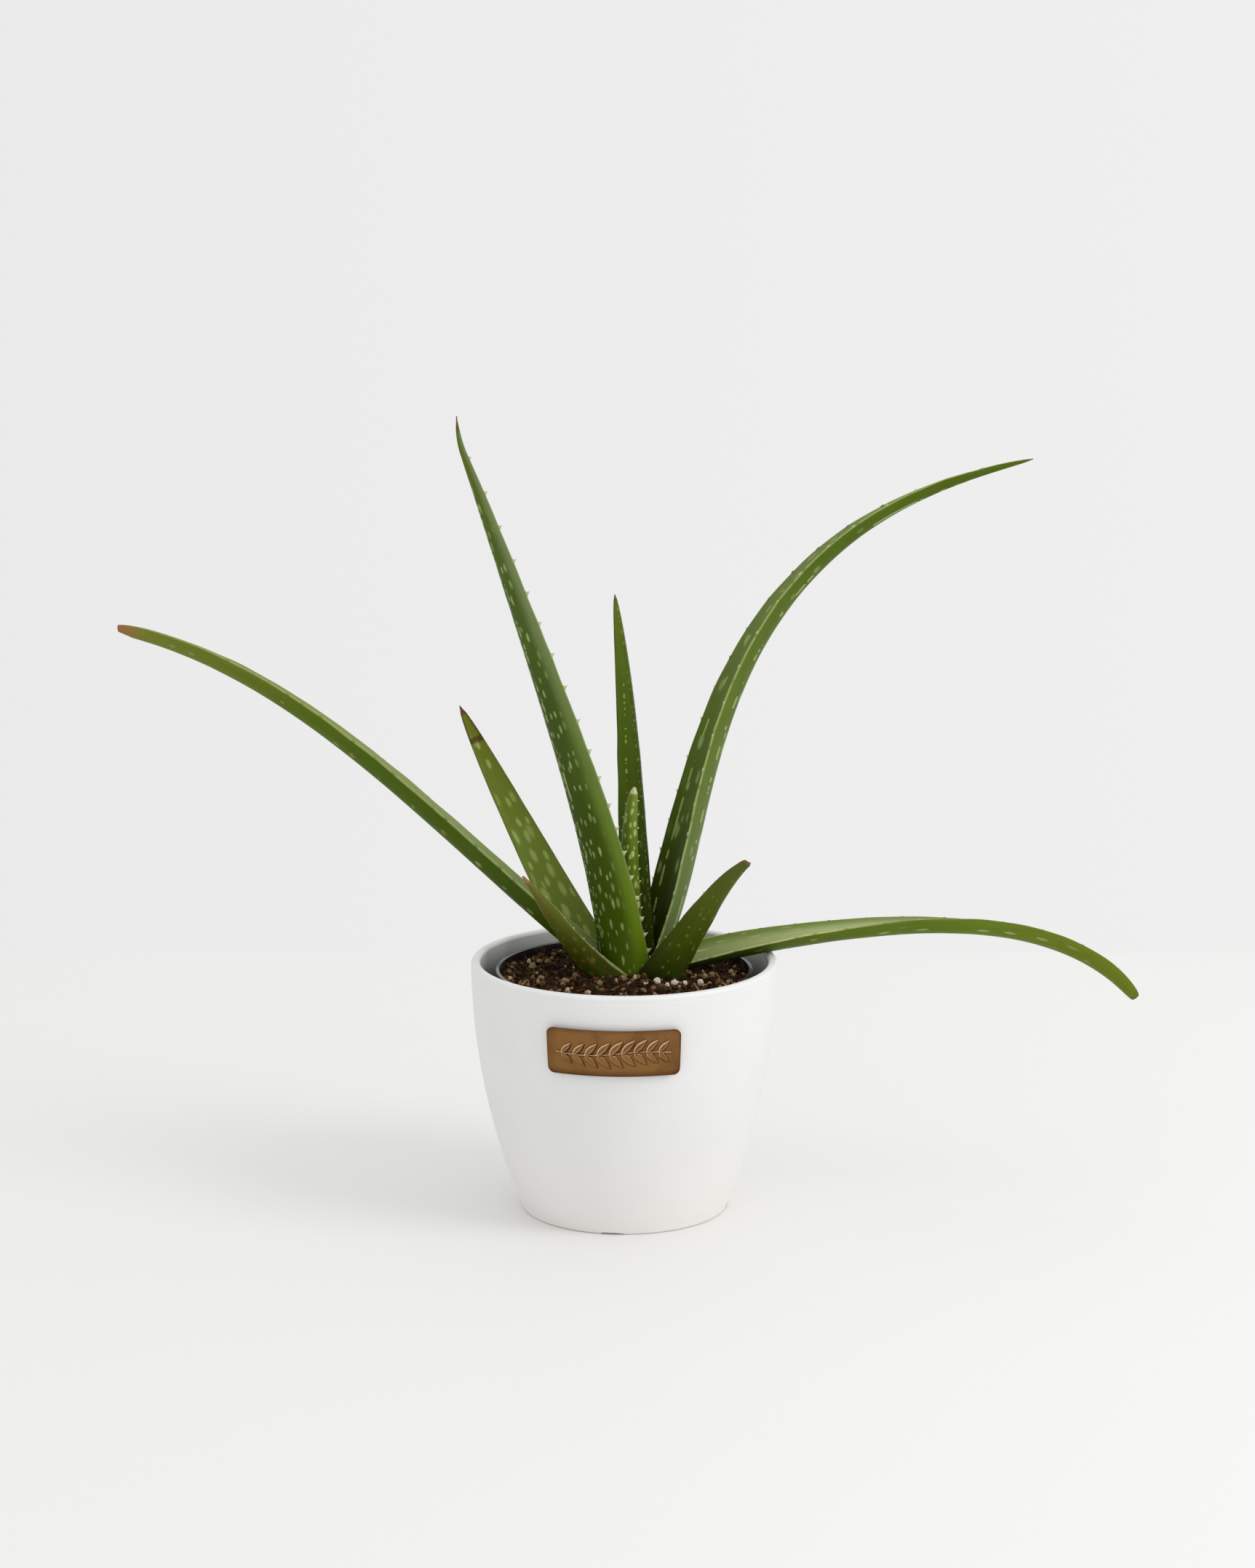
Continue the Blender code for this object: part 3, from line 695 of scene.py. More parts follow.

# How each leaf is coloured. outer and inner are the tones of its faces from base to tip, and paintedLight
# holds painted light: tones towards one margin, between the two places of paintedLightSide (the margins
# are at 1 and -1), a painted sheen along the lit margin of leaf_tall and painted shade along the far margin
# of leaf_long_right. cell is the room of one spot across and along, size its share of that, filled how many
# cells hold one, spotFrom the side where they begin and spotInset how far they keep from the margins. rows
# are
# lines of dashes: which margin, how far in, how long a dash. edgeTo is where the margin's line ends, crease
# where the bruise crosses and dry where the dry tip begins, as shares of the length. teeth are the gap near
# the base, the gap further up and the height, and leftTeeth shortens those on the margin at 1.
leafLooks = {
    "leaf_heart": dict(
        outer=((88, 112, 4), (82, 104, 14), (88, 110, 28), (112, 130, 48)),
        inner=((74, 96, 10), (84, 106, 22), (104, 120, 46)),
        spot=(182, 196, 120), cell=(2.1, 4.4), size=0.42, filled=0.95, spotInset=0.2,
        edge=(160, 172, 96), dry=0.965, dryTone=(196, 200, 150), teeth=(3.2, 5.5, 1.1)),
    "leaf_centre": dict(
        outer=((46, 62, 10), (50, 67, 16), (62, 80, 22), (88, 104, 36)),
        inner=((60, 76, 10), (68, 86, 18), (84, 104, 26), (104, 120, 34)),
        spot=(150, 168, 76), cell=(3.2, 7.5), size=0.24, spotFrom=0.1,
        rows=((1, 1.0, 2.4), (-1, 3.0, 2.4)), edge=(56, 70, 28), edgeWidth=0.5,
        dry=0.988, dryTone=(128, 104, 62), teeth=(9.0, 15.0, 0.5)),
    "leaf_tall": dict(
        outer=((62, 82, 0), (60, 78, 10), (64, 82, 26), (76, 94, 36), (90, 107, 34)),
        inner=((84, 102, 12), (86, 102, 40), (102, 112, 46)),
        spot=(152, 168, 108), cell=(2.1, 8.2), size=0.29, filled=0.8, spotFrom=-0.75,
        rows=((1, 2.2, 2.6), (1, 4.2, 3.4)), edge=(130, 144, 84), edgeWidth=0.45,
        # Painted sheen along the lit margin.
        paintedLight=((100, 128, 6), (96, 116, 50), (108, 123, 80), (114, 127, 86)), paintedLightSide=(-0.4, -0.95),
        dry=0.982, dryTone=(112, 88, 50), teeth=(5.0, 14.5, 1.9), leftTeeth=0.55),
    "leaf_arched": dict(
        outer=((104, 120, 72), (92, 109, 44), (78, 97, 24), (78, 97, 16)),
        # Painted light: the inner tones grow much paler up the blade, where that face turns away from the
        # lamp.
        inner=((30, 44, 0), (84, 103, 34), (114, 130, 72), (138, 146, 98)),
        spot=(146, 163, 98), cell=(4.6, 13), size=0.27, rows=((-1, 3.4, 7.5), (1, 2.6, 4.6)),
        edge=(158, 172, 104), edgeWidth=0.28, dry=0.99, dryTone=(132, 96, 56), teeth=(9.5, 14.0, 1.3)),
    "leaf_short_left": dict(
        outer=((86, 103, 32), (102, 120, 44), (92, 108, 28), (98, 105, 30)),
        inner=((102, 116, 46), (100, 117, 42), (101, 108, 30)),
        spot=(152, 168, 90), cell=(3.3, 9.5), size=0.42, filled=0.8, edge=(92, 70, 48),
        crease=0.872, dry=0.972, dryTone=(104, 62, 44), teeth=(9.0, 14.0, 0.6)),
    "leaf_long_left": dict(
        outer=((58, 76, 2), (66, 87, 11), (82, 102, 20), (120, 128, 46)),
        inner=((84, 98, 40), (128, 142, 90), (132, 142, 82), (130, 130, 60)),
        spot=(136, 150, 80), cell=(3.6, 10), size=0.2, edge=(162, 172, 112),
        edgeWidth=0.35, dry=0.972, dryFade=0.035, dryTone=(162, 104, 72), teeth=(14.0, 24.0, 0.6)),
    "leaf_long_right": dict(
        outer=((34, 48, 0), (84, 104, 24), (98, 116, 32), (104, 116, 30)),
        inner=((108, 122, 64), (158, 168, 116), (178, 184, 144), (118, 130, 70)),
        # Painted shade along the far margin.
        paintedLight=((84, 104, 30), (98, 118, 48), (120, 134, 66), (112, 126, 60)), paintedLightSide=(-0.25, -0.9),
        spot=(158, 170, 114), cell=(2.1, 13), size=0.23, edge=(200, 206, 140), edgeWidth=0.3,
        edgeTo=0.55, dry=0.996, dryTone=(120, 104, 52), teeth=(10.0, 16.0, 0.9)),
    "leaf_front_left": dict(
        outer=((38, 42, 0), (62, 70, 6), (86, 94, 28), (110, 108, 50)),
        inner=((88, 104, 36), (100, 114, 48), (108, 112, 58)),
        spot=(122, 92, 48), cell=(3.2, 4.5), size=0.34, filled=0.55, edge=(150, 154, 92), edgeWidth=0.35,
        dry=0.945, dryTone=(150, 112, 78), teeth=(4.6, 6.0, 0.8)),
    "leaf_short_right": dict(
        outer=((30, 40, 0), (64, 78, 6), (80, 92, 24), (84, 94, 38)),
        inner=((40, 52, 2), (66, 80, 16), (86, 94, 38)),
        spot=(112, 128, 58), cell=(3.0, 5.5), size=0.2, filled=0.6, edge=(76, 84, 34),
        dry=0.985, dryTone=(112, 86, 60), teeth=(4.6, 6.5, 0.8)),
}
usualLook = dict(rows=(), spotInset=0.7, filled=0.5, edgeWidth=0.4, edgeTo=1.1, crease=2, dryFade=0.008,
                 leftTeeth=1, gloss=0.07)
for name in leafShapes:
    leafShapes[name] = {**usualShape, **leafShapes[name]}
    leafLooks[name] = {**usualLook, **leafLooks[name]}


def bladeFrames(name):
    # For each station: its share of the length, how far along it is, its centre, and the directions along the
    # blade, across it and inward.
    leaf, stations = leafShapes[name], bladeMesh["stations"]
    shares = [1 - (1 - i / (stations - 1)) ** bladeMesh["crowding"] for i in range(stations)]
    ways = []
    for share in shares:
        rest = 1 - share
        weights = (rest**3, 3 * rest**2 * share, 3 * rest * share**2, share**3)
        rise = sum(weight * angle for weight, angle in zip(weights, leaf["rise"]))
        rise += leaf["tipTurn"] * max(0, 1 - rest / bladeMesh["tipTurnShare"])
        rise, turn = math.radians(rise), math.radians(leaf["azimuth"] + leaf["sweep"] * share)
        ways.append(onCircle(math.cos(rise), turn, math.sin(rise)))
    centres = [Vector(leaf["base"]) * mm + Vector((0, 0, growTop))]
    for i in range(1, stations):
        step = leaf["length"] * mm * (shares[i] - shares[i - 1])
        centres.append(centres[-1] + (ways[i - 1] + ways[i]).normalized() * step)
    root = leaf["root"] * mm
    for _ in range(2):
        centres.insert(0, centres[0] - ways[0] * root / 2)
        shares.insert(0, 0)
        ways.insert(0, ways[0])
    inward, distance, frames = -onCircle(1, math.radians(leaf["faces"]), 0), 0, []
    for i, (share, centre, along) in enumerate(zip(shares, centres, ways)):
        if i:
            distance += (centre - centres[i - 1]).length
            inward = ways[i - 1].rotation_difference(along) @ inward
        inward = (inward - along * inward.dot(along)).normalized()
        twist = math.radians(leaf["twist"] * share)
        twisted = inward * math.cos(twist) + along.cross(inward) * math.sin(twist)
        frames.append((share, distance, centre, along, along.cross(twisted), twisted))
    return frames


def bladeSize(name, share):
    leaf = leafShapes[name]
    narrowing = max(0, 1 - share * (1 - leaf["tip"])) ** leaf["taper"]
    neck = 1 - leaf["neck"] * max(0, 1 - share / bladeMesh["neckShare"]) ** 1.5
    least = bladeMesh["tipHalfWidth"] * mm
    halfWidth = max(least, leaf["width"] * mm / 2 * narrowing * neck)
    return halfWidth, max(1.4 * least, leaf["thickness"] * mm * narrowing**0.8)


def alongLeaf(tree, share, tones):
    last = len(tones) - 1
    return tree.ramp(share, [(0.02 + 0.95 * i / last, paint(*tone)) for i, tone in enumerate(tones)])


def leafFinish(name):
    look = leafLooks[name]

    def build(tree):
        place, shape = tree.attribute("place"), tree.attribute("shape")
        across, along, turn = tree.split(place)
        share, side, halfWidth = tree.split(shape)
        inner = tree.smooth(turn, -0.1, 0.1)
        fromEdge = halfWidth * (1 - abs(side))
        colour = tree.mix(inner, alongLeaf(tree, share, look["outer"]), alongLeaf(tree, share, look["inner"]))
        cloud = tree.noise(tree.scaled(place, (60, 22, 1)), 1, 3, 0.55)
        streak = tree.noise(tree.scaled(place, (1500, 55, 2)), 1, 3, 0.6)
        fine = tree.noise(tree.scaled(place, (3800, 900, 2)), 1, 2)
        # Painted light towards one margin: a painted sheen on leaf_tall's lit side and painted shade on
        # leaf_long_right's far side.
        if "paintedLight" in look:
            turned = tree.smooth(side, *look["paintedLightSide"])
            colour = tree.mix(turned * 0.85, colour, alongLeaf(tree, share, look["paintedLight"]))
        colour = tree.shade(colour, 0.62 + cloud * 0.36 + streak * 0.32 + fine * 0.12)
        colour = tree.mix(tree.smooth(cloud, 0.5, 0.75) * 0.14, colour, paint(108, 128, 56))
        # Spots, one to a cell, and the lines of dashes.
        wide, tall = look["cell"]
        wander = tree.noise(place, 260, 1)
        grid = tree.join(across / (wide * mm) + wander * 0.5, along / (tall * mm), 0.0)
        cells = tree.node("ShaderNodeTexVoronoi", {"voronoi_dimensions": "2D"},
                          {"Vector": grid, "Scale": 1.0, "Randomness": 0.75})
        chance, grow, pale = tree.split(cells.of("Color"))
        radius = look["size"] * (0.55 + 0.75 * grow)
        spot = tree.smooth(cells + (fine - 0.5) * 0.1, radius, radius * 0.45)
        spot = spot * tree.maths("LESS_THAN", chance, look["filled"]) * (0.55 + 0.45 * pale)
        inset = look["spotInset"] * mm
        spot = spot * tree.smooth(fromEdge, inset, 2.5 * inset)
        if "spotFrom" in look:
            spot = spot * tree.smooth(side, look["spotFrom"], look["spotFrom"] + 0.4)
        for hand, inset, dashLength in look["rows"]:
            row = tree.smooth(abs(fromEdge - inset * mm), 0.72 * mm, 0)
            row = row * tree.smooth(side * hand, 0.1, 0.2)
            dash = tree.noise(tree.join(along / (dashLength * mm), hand * 7 + inset, 0.0), 1, 1)
            dash = tree.smooth(row * tree.smooth(dash, 0.47, 0.63), 0.2, 0.42)  # round ends
            spot = tree.maths("MAXIMUM", spot, dash)
        colour = tree.mix(spot * 0.9, colour, paint(*look["spot"]))
        # Margins, where the blade's side can be seen.
        line = tree.smooth(fromEdge, look["edgeWidth"] * mm * 1.2, look["edgeWidth"] * mm * 0.3)
        line = line * tree.smooth(turn, -0.22, -0.08)
        broken = tree.smooth(tree.noise(tree.scaled(place, (1, 240, 0)), 1, 2), 0.3, 0.5)
        line = line * tree.smooth(share, look["edgeTo"], look["edgeTo"] - 0.25)
        colour = tree.mix(line * (0.3 + 0.5 * broken), colour, paint(*look["edge"]))
        # A bent and bruised tip has a dark line across and brown margins above it.
        ragged = share + (tree.noise(place, 420, 2) - 0.5) * 0.02
        crease = look["crease"]
        bruise = tree.smooth(fromEdge, 1.1 * mm, 0.1 * mm) * tree.smooth(ragged, crease, crease + 0.02)
        rim = tree.smooth(abs(ragged - crease), 0.013, 0.002)
        brown = tree.maths("MAXIMUM", bruise * 0.8, rim * 0.85)
        colour = tree.mix(brown, colour, paint(84, 54, 30))
        # Dry tip.
        dry = tree.smooth(ragged, look["dry"] - look["dryFade"], look["dry"] + look["dryFade"])
        husk = tree.shade(tree.mix(streak, (0.7, 0.7, 0.7), (1.3, 1.3, 1.3)), paint(*look["dryTone"]))
        colour = tree.mix(dry, colour, husk)
        height = streak * 0.5 + fine * 0.2 + spot * 0.35 - rim * 1.5 + dry * streak * 1.5
        return {
            "Base Color": colour,
            "Roughness": 0.36 + 0.12 * fine + 0.3 * dry - 0.05 * spot,
            "Normal": tree.bump(height, 0.00016, 0.8),
        }

    return newFinish(name + "Skin", build, look["gloss"])


def makeBlade(name, number, frames):
    look, leaf, ring = leafLooks[name], leafShapes[name], bladeMesh["ring"]
    points, place, shape, faces = [], [], [], []
    for share, distance, centre, along, across, inward in frames:
        halfWidth, thickness = bladeSize(name, share)
        uneven = noise.noise(Vector((distance * 90, number * 7, 0)))
        halfWidth *= 1 + leaf["ragged"] * uneven
        dryness = max(0, min(1, (share - look["dry"]) * 60))
        for i in range(ring):
            angle = math.tau * i / ring
            side, turn = math.cos(angle), math.sin(angle)
            wave = noise.noise(Vector((distance * 70, round(side), number * 3.0))) * side**4
            inner = bladeMesh["innerShare"]
            depth = (inner if turn > 0 else 1 - inner) * thickness * turn
            lump = noise.noise(Vector((side * 1.5, distance * 60, turn + number))) * 0.012 * halfWidth
            wrinkle = abs(noise.noise(Vector((side * 2, turn * 2, distance * 260))))
            shrivel = 1 - dryness * (0.18 + 0.3 * wrinkle)
            rise = leaf["curl"] * halfWidth * side**2 + (depth + lump * turn) * shrivel
            rise += bladeMesh["wave"] * mm * wave
            points.append(centre + across * halfWidth * side * shrivel + inward * rise)
            place.append((halfWidth * side, distance, turn))
            shape.append((share, side, halfWidth))
    for row in range(len(frames) - 1):
        for i in range(ring):
            j = (i + 1) % ring
            faces.append((row * ring + i, row * ring + j, row * ring + ring + j, row * ring + ring + i))
    for end, step in ((0, -1), (len(frames) - 1, 1)):
        share, distance, centre, along, across, inward = frames[end]
        start, pole = end * ring, len(points)
        points.append(centre + along * step * bladeMesh["cap"] * mm)
        place.append((0, distance, 0))
        shape.append((share, 0, shape[start][2]))
        faces += [(start + i, start + (i + 1) % ring, pole) for i in range(ring)]
    blade = newPiece(name + "_blade", points, faces, leafFinish(name), {"place": place, "shape": shape})
    seat(blade, "leaf", name)


# Teeth. starts are how far up the two margins the first ones stand, and inset how far into the margin, in
# mm. height, lean, baseWidth and thickness are shares of a tooth's size, and buried is the part of it in
# the leaf.

toothPlan = {"starts": {1: 3, -1: 4.5}, "inset": 0.25, "chance": 0.22, "height": 1.3, "sides": 8, "rings": 5,
             "lean": 0.42, "baseWidth": 1.8, "thickness": 0.55, "buried": 0.12}


def toothSpots(name, number, frames):
    # Where the teeth of one leaf stand, as (point, outward, along, size).
    look, curl = leafLooks[name], leafShapes[name]["curl"]
    low, high, size = look["teeth"]
    found = []
    for hand, start in toothPlan["starts"].items():
        due = start * mm
        for share, distance, centre, along, across, inward in frames:
            if distance < due or share < 0.03 or share > look["dry"] - 0.01:
                continue
            halfWidth = bladeSize(name, share)[0]
            chance = noise.noise(Vector((distance * 300, hand * 4, number)))
            reach = min(1, share / 0.45) ** 0.8
            due = distance + (low + (high - low) * reach) * mm * (1 + toothPlan["chance"] * chance)
            outward = (across * hand + inward * curl * 0.7).normalized()
            point = centre + across * hand * (halfWidth - toothPlan["inset"] * mm)
            point += inward * curl * halfWidth * 0.96
            tall = size * mm * (1 + 0.2 * chance) * (0.55 + 0.45 * min(1, halfWidth / (5 * mm)))
            found.append((point, outward, along, tall * (look["leftTeeth"] if hand > 0 else 1)))
    return found


def toothFinish(tree):
    reach = tree.split(tree.attribute("reach"))[2]
    speck = tree.noise(tree.place(), 1500, 2)
    colour = tree.ramp(reach, [(0.0, paint(112, 126, 62)), (0.35, paint(196, 194, 148)),
                               (0.8, paint(228, 220, 190)), (1.0, paint(170, 120, 80))])
    colour = tree.mix(speck * 0.25, colour, paint(150, 140, 96))
    return {"Base Color": colour, "Roughness": 0.4 + 0.15 * speck}


def makeTeeth(spots):
    # Each tooth is a small horn that leans to the leaf's tip.
    tree, given, sockets = newGroup("teethOnMargins", {
        "Spots": "Geometry", "Lean": "Float", "Base width": "Float", "Finish": "Material"}, "Teeth")
    height = toothPlan["height"]
    horn = tree.node("GeometryNodeMeshCone", {"fill_type": "NGON"}, {
        "Vertices": toothPlan["sides"], "Side Segments": toothPlan["rings"], "Radius Top": 0.03,
        "Radius Bottom": 0.5, "Depth": height})
    x, y, z = tree.split(tree.node("GeometryNodeInputPosition"))
    slim = (1 - z / height) ** 0.5
    bent = tree.join(x * given.of("Base width") * slim + given.of("Lean") * z * z,
                     y * toothPlan["thickness"] * slim, z - toothPlan["buried"])
    horn = tree.node("GeometryNodeStoreNamedAttribute", {"data_type": "FLOAT_VECTOR", "domain": "POINT"},
                     {"Geometry": horn, "Name": "reach", "Value": tree.join(x, y, z / height)})
    horn = tree.node("GeometryNodeSetPosition", None, {"Geometry": horn, "Position": bent})

    def read(label):
        return tree.node("GeometryNodeInputNamedAttribute", {"data_type": "FLOAT_VECTOR"}, {"Name": label})

    upright = tree.node("FunctionNodeAlignRotationToVector", {"axis": "Z"}, {"Vector": read("outward")})
    turned = tree.node("FunctionNodeAlignRotationToVector", {"axis": "X", "pivot_axis": "Z"},
                       {"Rotation": upright, "Vector": read("along")})
    teeth = tree.node("GeometryNodeInstanceOnPoints", None, {
        "Points": given.of("Spots"), "Instance": horn, "Rotation": turned, "Scale": read("size")})
    teeth = tree.node("GeometryNodeRealizeInstances", None, {0: teeth})
    teeth = tree.node("GeometryNodeSetMaterial", None, {"Geometry": teeth, "Material": given.of("Finish")})
    tree.node("NodeGroupOutput", None, {"Teeth": teeth})

    mesh = bpy.data.meshes.new("leaf_teeth")
    mesh.from_pydata([spot[0] for spot in spots], [], [])
    addVectors(mesh, {"outward": [spot[1] for spot in spots], "along": [spot[2] for spot in spots],
                      "size": [(spot[3],) * 3 for spot in spots]})
    piece = linked("leaf_teeth", mesh)
    grow(piece, tree, sockets, {"Lean": toothPlan["lean"], "Base width": toothPlan["baseWidth"],
                                "Finish": newFinish("toothHorn", toothFinish, gloss=0.3)})
    seat(piece, "leaf")
    print(len(spots), "teeth made,", len(piece.data.polygons), "faces")


allSpots = []
for number, leafName in enumerate(leafShapes):
    leafFrames = bladeFrames(leafName)
    makeBlade(leafName, number, leafFrames)
    allSpots += toothSpots(leafName, number, leafFrames)
    print(leafName, "made")
makeTeeth(allSpots)


# Stem: the CAD's own shape, with a fibrous skin.


def stemSkin(tree):
    place = tree.place()
    fibre = tree.noise(tree.scaled(place, (1, 1, 0.18)), 900, 4, 0.6)
    cloud = tree.noise(place, 180, 3)
    colour = tree.ramp(cloud, [(0.3, paint(112, 118, 52)), (0.5, paint(140, 132, 76)),
                               (0.75, paint(120, 88, 52))])
    return {
        "Base Color": tree.mix(fibre * 0.4, colour, paint(84, 66, 36)),
        "Roughness": 0.55 + 0.25 * fibre,
        "Normal": tree.bump(fibre, 0.0003, 0.8),
    }


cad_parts["stem"].material_slots[0].material = newFinish("stemSkin", stemSkin)
print("stem finished")


# Label plate, bent round the outer pot's wall, with a sprig in relief

plate = {
    "width": 53, "standOff": 1.4, "thickness": 1.2, "facing": 266, "corner": 2.6, "columns": 300, "rows": 112,
    "edgeRounding": 0.35, "relief": 0.75, "shadow": 0.34, "paintedHalo": 0.5, "sharpAngle": 50,
}
sprig = {
    "vineWave": 0.9, "vinePitch": 7.5, "vineEnd": 22.5, "vineWidth": 0.26, "softness": 0.22, "leafPairs": 9,
    "leafStart": -20.5, "leafSpan": 38, "leafLength": 7.8, "leafWidth": 1.45, "leafLean": 46, "vein": 0.45,
    "veinWidth": 0.06,
}
plateLow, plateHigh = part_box("label_plate")


def copperPlate(tree):
    across, up, relief = tree.split(tree.attribute("plate"))
    brushing = tree.noise(tree.join(across * 5200, up * 130, 0.0), 1, 4, 0.6)
    cloud = tree.noise(tree.place(), 120, 3)
    raised = tree.smooth(relief, 0.15, 0.85)
    # Painted light from the relief: a painted highlight, a painted shadow and painted shade around the lines.
    paintedHighlight, paintedShadow, paintedHalo = tree.split(tree.attribute("patina"))
    colour = tree.mix(brushing, (0.185, 0.084, 0.022), (0.33, 0.165, 0.052))
    colour = tree.mix(paintedHalo * 0.45, colour, (0.115, 0.048, 0.012))
    colour = tree.mix(raised * 0.6, colour, (0.34, 0.17, 0.062))
    # Painted shade: darker in patches towards the plate's borders, and darker towards its bottom.
    borderShade = tree.smooth(abs(across), 21 * mm, 26.4 * mm) + tree.smooth(abs(up), 7 * mm, 9.4 * mm)
    colour = tree.mix(borderShade * 0.6 * cloud, colour, (0.085, 0.036, 0.014))
    colour = tree.mix(tree.smooth(up, -6 * mm, -9.4 * mm) * 0.45, colour, (0.07, 0.030, 0.012))
    colour = tree.mix(tree.smooth(cloud, 0.5, 0.75) * 0.5, colour, (0.13, 0.058, 0.022))
    colour = tree.mix(paintedShadow * 0.85, colour, (0.045, 0.018, 0.006))
    colour = tree.mix(paintedHighlight * 0.9, colour, (0.86, 0.60, 0.34))
    return {
        "Base Color": colour,
        "Roughness": 0.34 + 0.2 * brushing,
        "Metallic": 0.82 + 0.1 * cloud,
        "Normal": tree.bump(brushing, 0.00004, 0.7),
    }


def sprigHeight(u, v):
    # 0 on the plate's ground and 1 on the raised lines, at u across and v up from the middle, in mm.
    def soft(distance, edge):
        return max(0, min(1, 0.5 - (distance - edge) / sprig["softness"]))

    def vine(across):
        return sprig["vineWave"] * math.sin(across / sprig["vinePitch"])

    height = soft(abs(v - vine(u)), sprig["vineWidth"]) if abs(u) < sprig["vineEnd"] else 0
    for i in range(sprig["leafPairs"]):
        start = sprig["leafStart"] + sprig["leafSpan"] * i / (sprig["leafPairs"] - 1)
        x, y = u - start, v - vine(start)
        size = 0.7 + 0.3 * math.cos(start / 15)  # smaller towards the ends
        for hand in (1, -1):
            lean = math.radians(sprig["leafLean"] * hand)
            along = x * math.cos(lean) + y * math.sin(lean)
            off = abs(-x * math.sin(lean) + y * math.cos(lean))
            length = sprig["leafLength"] * size
            if 0 < along < length:
                edge = sprig["leafWidth"] * size * math.sin(math.pi * (along / length) ** 0.8)
                veined = 0.6 < along < length - 0.9
                vein = sprig["vein"] * soft(off, sprig["veinWidth"]) if veined else 0
                height = max(height, soft(off, edge) - vein)
    return height


def makePlate():
    size = {key: value * mm for key, value in plate.items()}
    width, height = size["width"], plateHigh.z - plateLow.z
    middle = (plateHigh.z + plateLow.z) / 2
    radius, rim, span = size["corner"], size["edgeRounding"], wallRadius(middle)
    columns, rows, step, paintedHalo = plate["columns"], plate["rows"], plate["shadow"], plate["paintedHalo"]
    points, marks, patina, faces = [], [], [], []
    for layer in (0, 1):
        for row in range(rows + 1):
            for column in range(columns + 1):
                u = width * (column / columns - 0.5)
                v = height * (row / rows - 0.5)
                # Points outside the rounded corners move in to them.
                x = abs(u) - (width / 2 - radius)
                y = abs(v) - (height / 2 - radius)
                inset = radius - max(x, y)
                if x > 0 and y > 0:
                    shorter = max(x, y) / math.hypot(x, y)
                    x, y = x * shorter, y * shorter
                    u = math.copysign(width / 2 - radius + x, u)
                    v = math.copysign(height / 2 - radius + y, v)
                    inset = radius - math.hypot(x, y)
                out, relief, shades = size["standOff"], 0, (0, 0, 0)
                if layer:
                    drop = rim * (1 - math.sqrt(max(0, 1 - max(0, 1 - inset / rim) ** 2)))
                    a, b = u / mm, v / mm
                    relief = sprigHeight(a, b)
                    out += size["thickness"] - drop + (relief - 1) * size["relief"] * min(1, inset / rim)
                    # Painted light: highlight up and left of the lines, shadow down and right, shade around
                    # them.
                    change = relief - sprigHeight(a - step, b + step)
                    beside = [sprigHeight(a + paintedHalo, b), sprigHeight(a - paintedHalo, b), sprigHeight(a, b + paintedHalo),
                              sprigHeight(a, b - paintedHalo)]
                    shades = (max(0, change), max(0, -change), max(beside))
                z = middle + v
                points.append(onCircle(wallRadius(z) + out, math.radians(plate["facing"]) + u / span, z))
                marks.append((u, v, relief))
                patina.append(shades)
    count = columns + 1
    layerSize = count * (rows + 1)
    for row in range(rows):
        for column in range(columns):
            a = row * count + column
            b = a + layerSize
            faces += [(a, a + count, a + count + 1, a + 1), (b, b + 1, b + count + 1, b + count)]
    outline = list(range(columns)) + [row * count + columns for row in range(rows)]
    outline += [rows * count + column for column in range(columns, 0, -1)]
    outline += [row * count for row in range(rows, 0, -1)]
    for a, b in zip(outline, outline[1:] + outline[:1]):
        faces.append((a, b, b + layerSize, a + layerSize))
    piece = newPiece("label_relief", points, faces, newFinish("copperPlate", copperPlate),
                     {"plate": marks, "patina": patina}, plate["sharpAngle"])
    seat(piece, "copper", "label_plate")


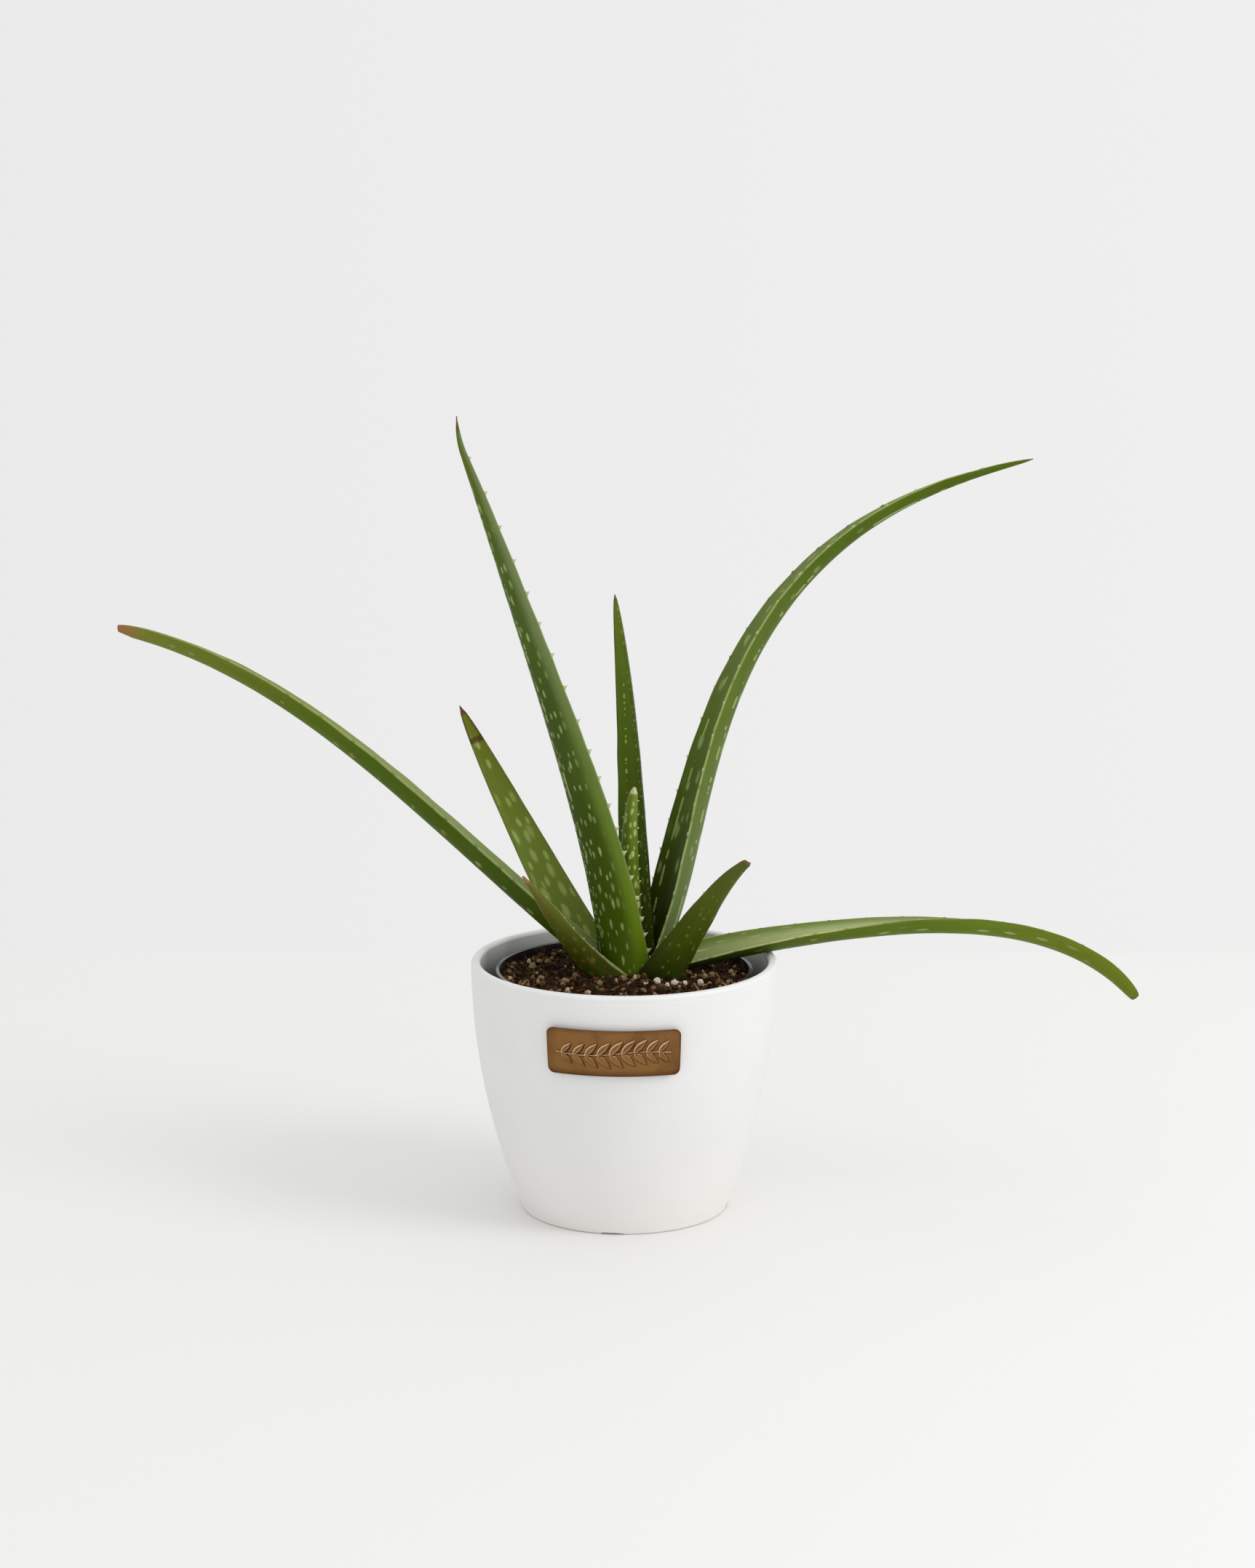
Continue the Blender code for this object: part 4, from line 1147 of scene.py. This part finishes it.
def padFoam(tree):
    place = tree.place()
    cells = tree.cells(place, 2600)
    cloud = tree.noise(place, 300, 2)
    return {
        "Base Color": tree.mix(cloud, (0.62, 0.62, 0.60), (0.74, 0.74, 0.73)),
        "Roughness": 0.8 + 0.1 * cells,
        "Normal": tree.bump(cells, 0.0002, 0.7),
    }


makePlate()
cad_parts["label_pad"].material_slots[0].material = newFinish("padFoam", padFoam)
print("label plate made")


# Floor, world and light

studio = {
    "floorBack": 0.426, "floorSide": 4, "floorFront": -5, "lightWatts": 12, "lightSize": 0.9,
    "lightPlace": (1.55, -0.72, 1.25), "lightAim": (0, 0, 0.12), "lightColour": (1.0, 0.985, 0.96),
    "sky": (0.92, 0.92, 0.912),
}


def floorFinish(tree):
    cloud = tree.noise(tree.place(), 3, 2)
    return {
        "Base Color": tree.mix(cloud, (0.838, 0.836, 0.829), (0.850, 0.848, 0.841)),
        "Roughness": 0.6 + 0.05 * cloud,
    }


def makeStudio():
    side, back, front = studio["floorSide"], studio["floorBack"], studio["floorFront"]
    floor = newPiece("floor", [(-side, front, 0), (side, front, 0), (side, back, 0), (-side, back, 0)],
                     [(0, 1, 2, 3)], newFinish("floorPaper", floorFinish, gloss=0.15))
    world = bpy.data.worlds.new("studioWorld")
    scene.world = world
    world.use_nodes = True
    world.node_tree.nodes.clear()
    tree = Tree(world.node_tree)
    right, _, up = tree.split(tree.node("ShaderNodeTexCoord", None, None, "Generated"))
    colour = tree.ramp(right * 0.5 + 0.5, [(0.0, (0.82, 0.82, 0.81)), (0.42, (0.825, 0.828, 0.824)),
                                           (0.58, (0.862, 0.864, 0.858)), (0.85, (0.95, 0.95, 0.94))])
    colour = tree.mix(tree.smooth(up, 0.05, 0.8), colour, studio["sky"])
    background = tree.node("ShaderNodeBackground", None, {"Color": colour, "Strength": 1.0})
    tree.node("ShaderNodeOutputWorld", None, {"Surface": background})
    light = bpy.data.lights.new("softbox", "AREA")
    light.energy = studio["lightWatts"]
    light.shape = "SQUARE"
    light.size = studio["lightSize"]
    light.color = studio["lightColour"]
    lamp = linked("softbox", light)
    lamp.location = studio["lightPlace"]
    aim = Vector(studio["lightAim"]) - Vector(studio["lightPlace"])
    lamp.rotation_euler = aim.to_track_quat("-Z", "Y").to_euler()


makeStudio()
print("studio set")
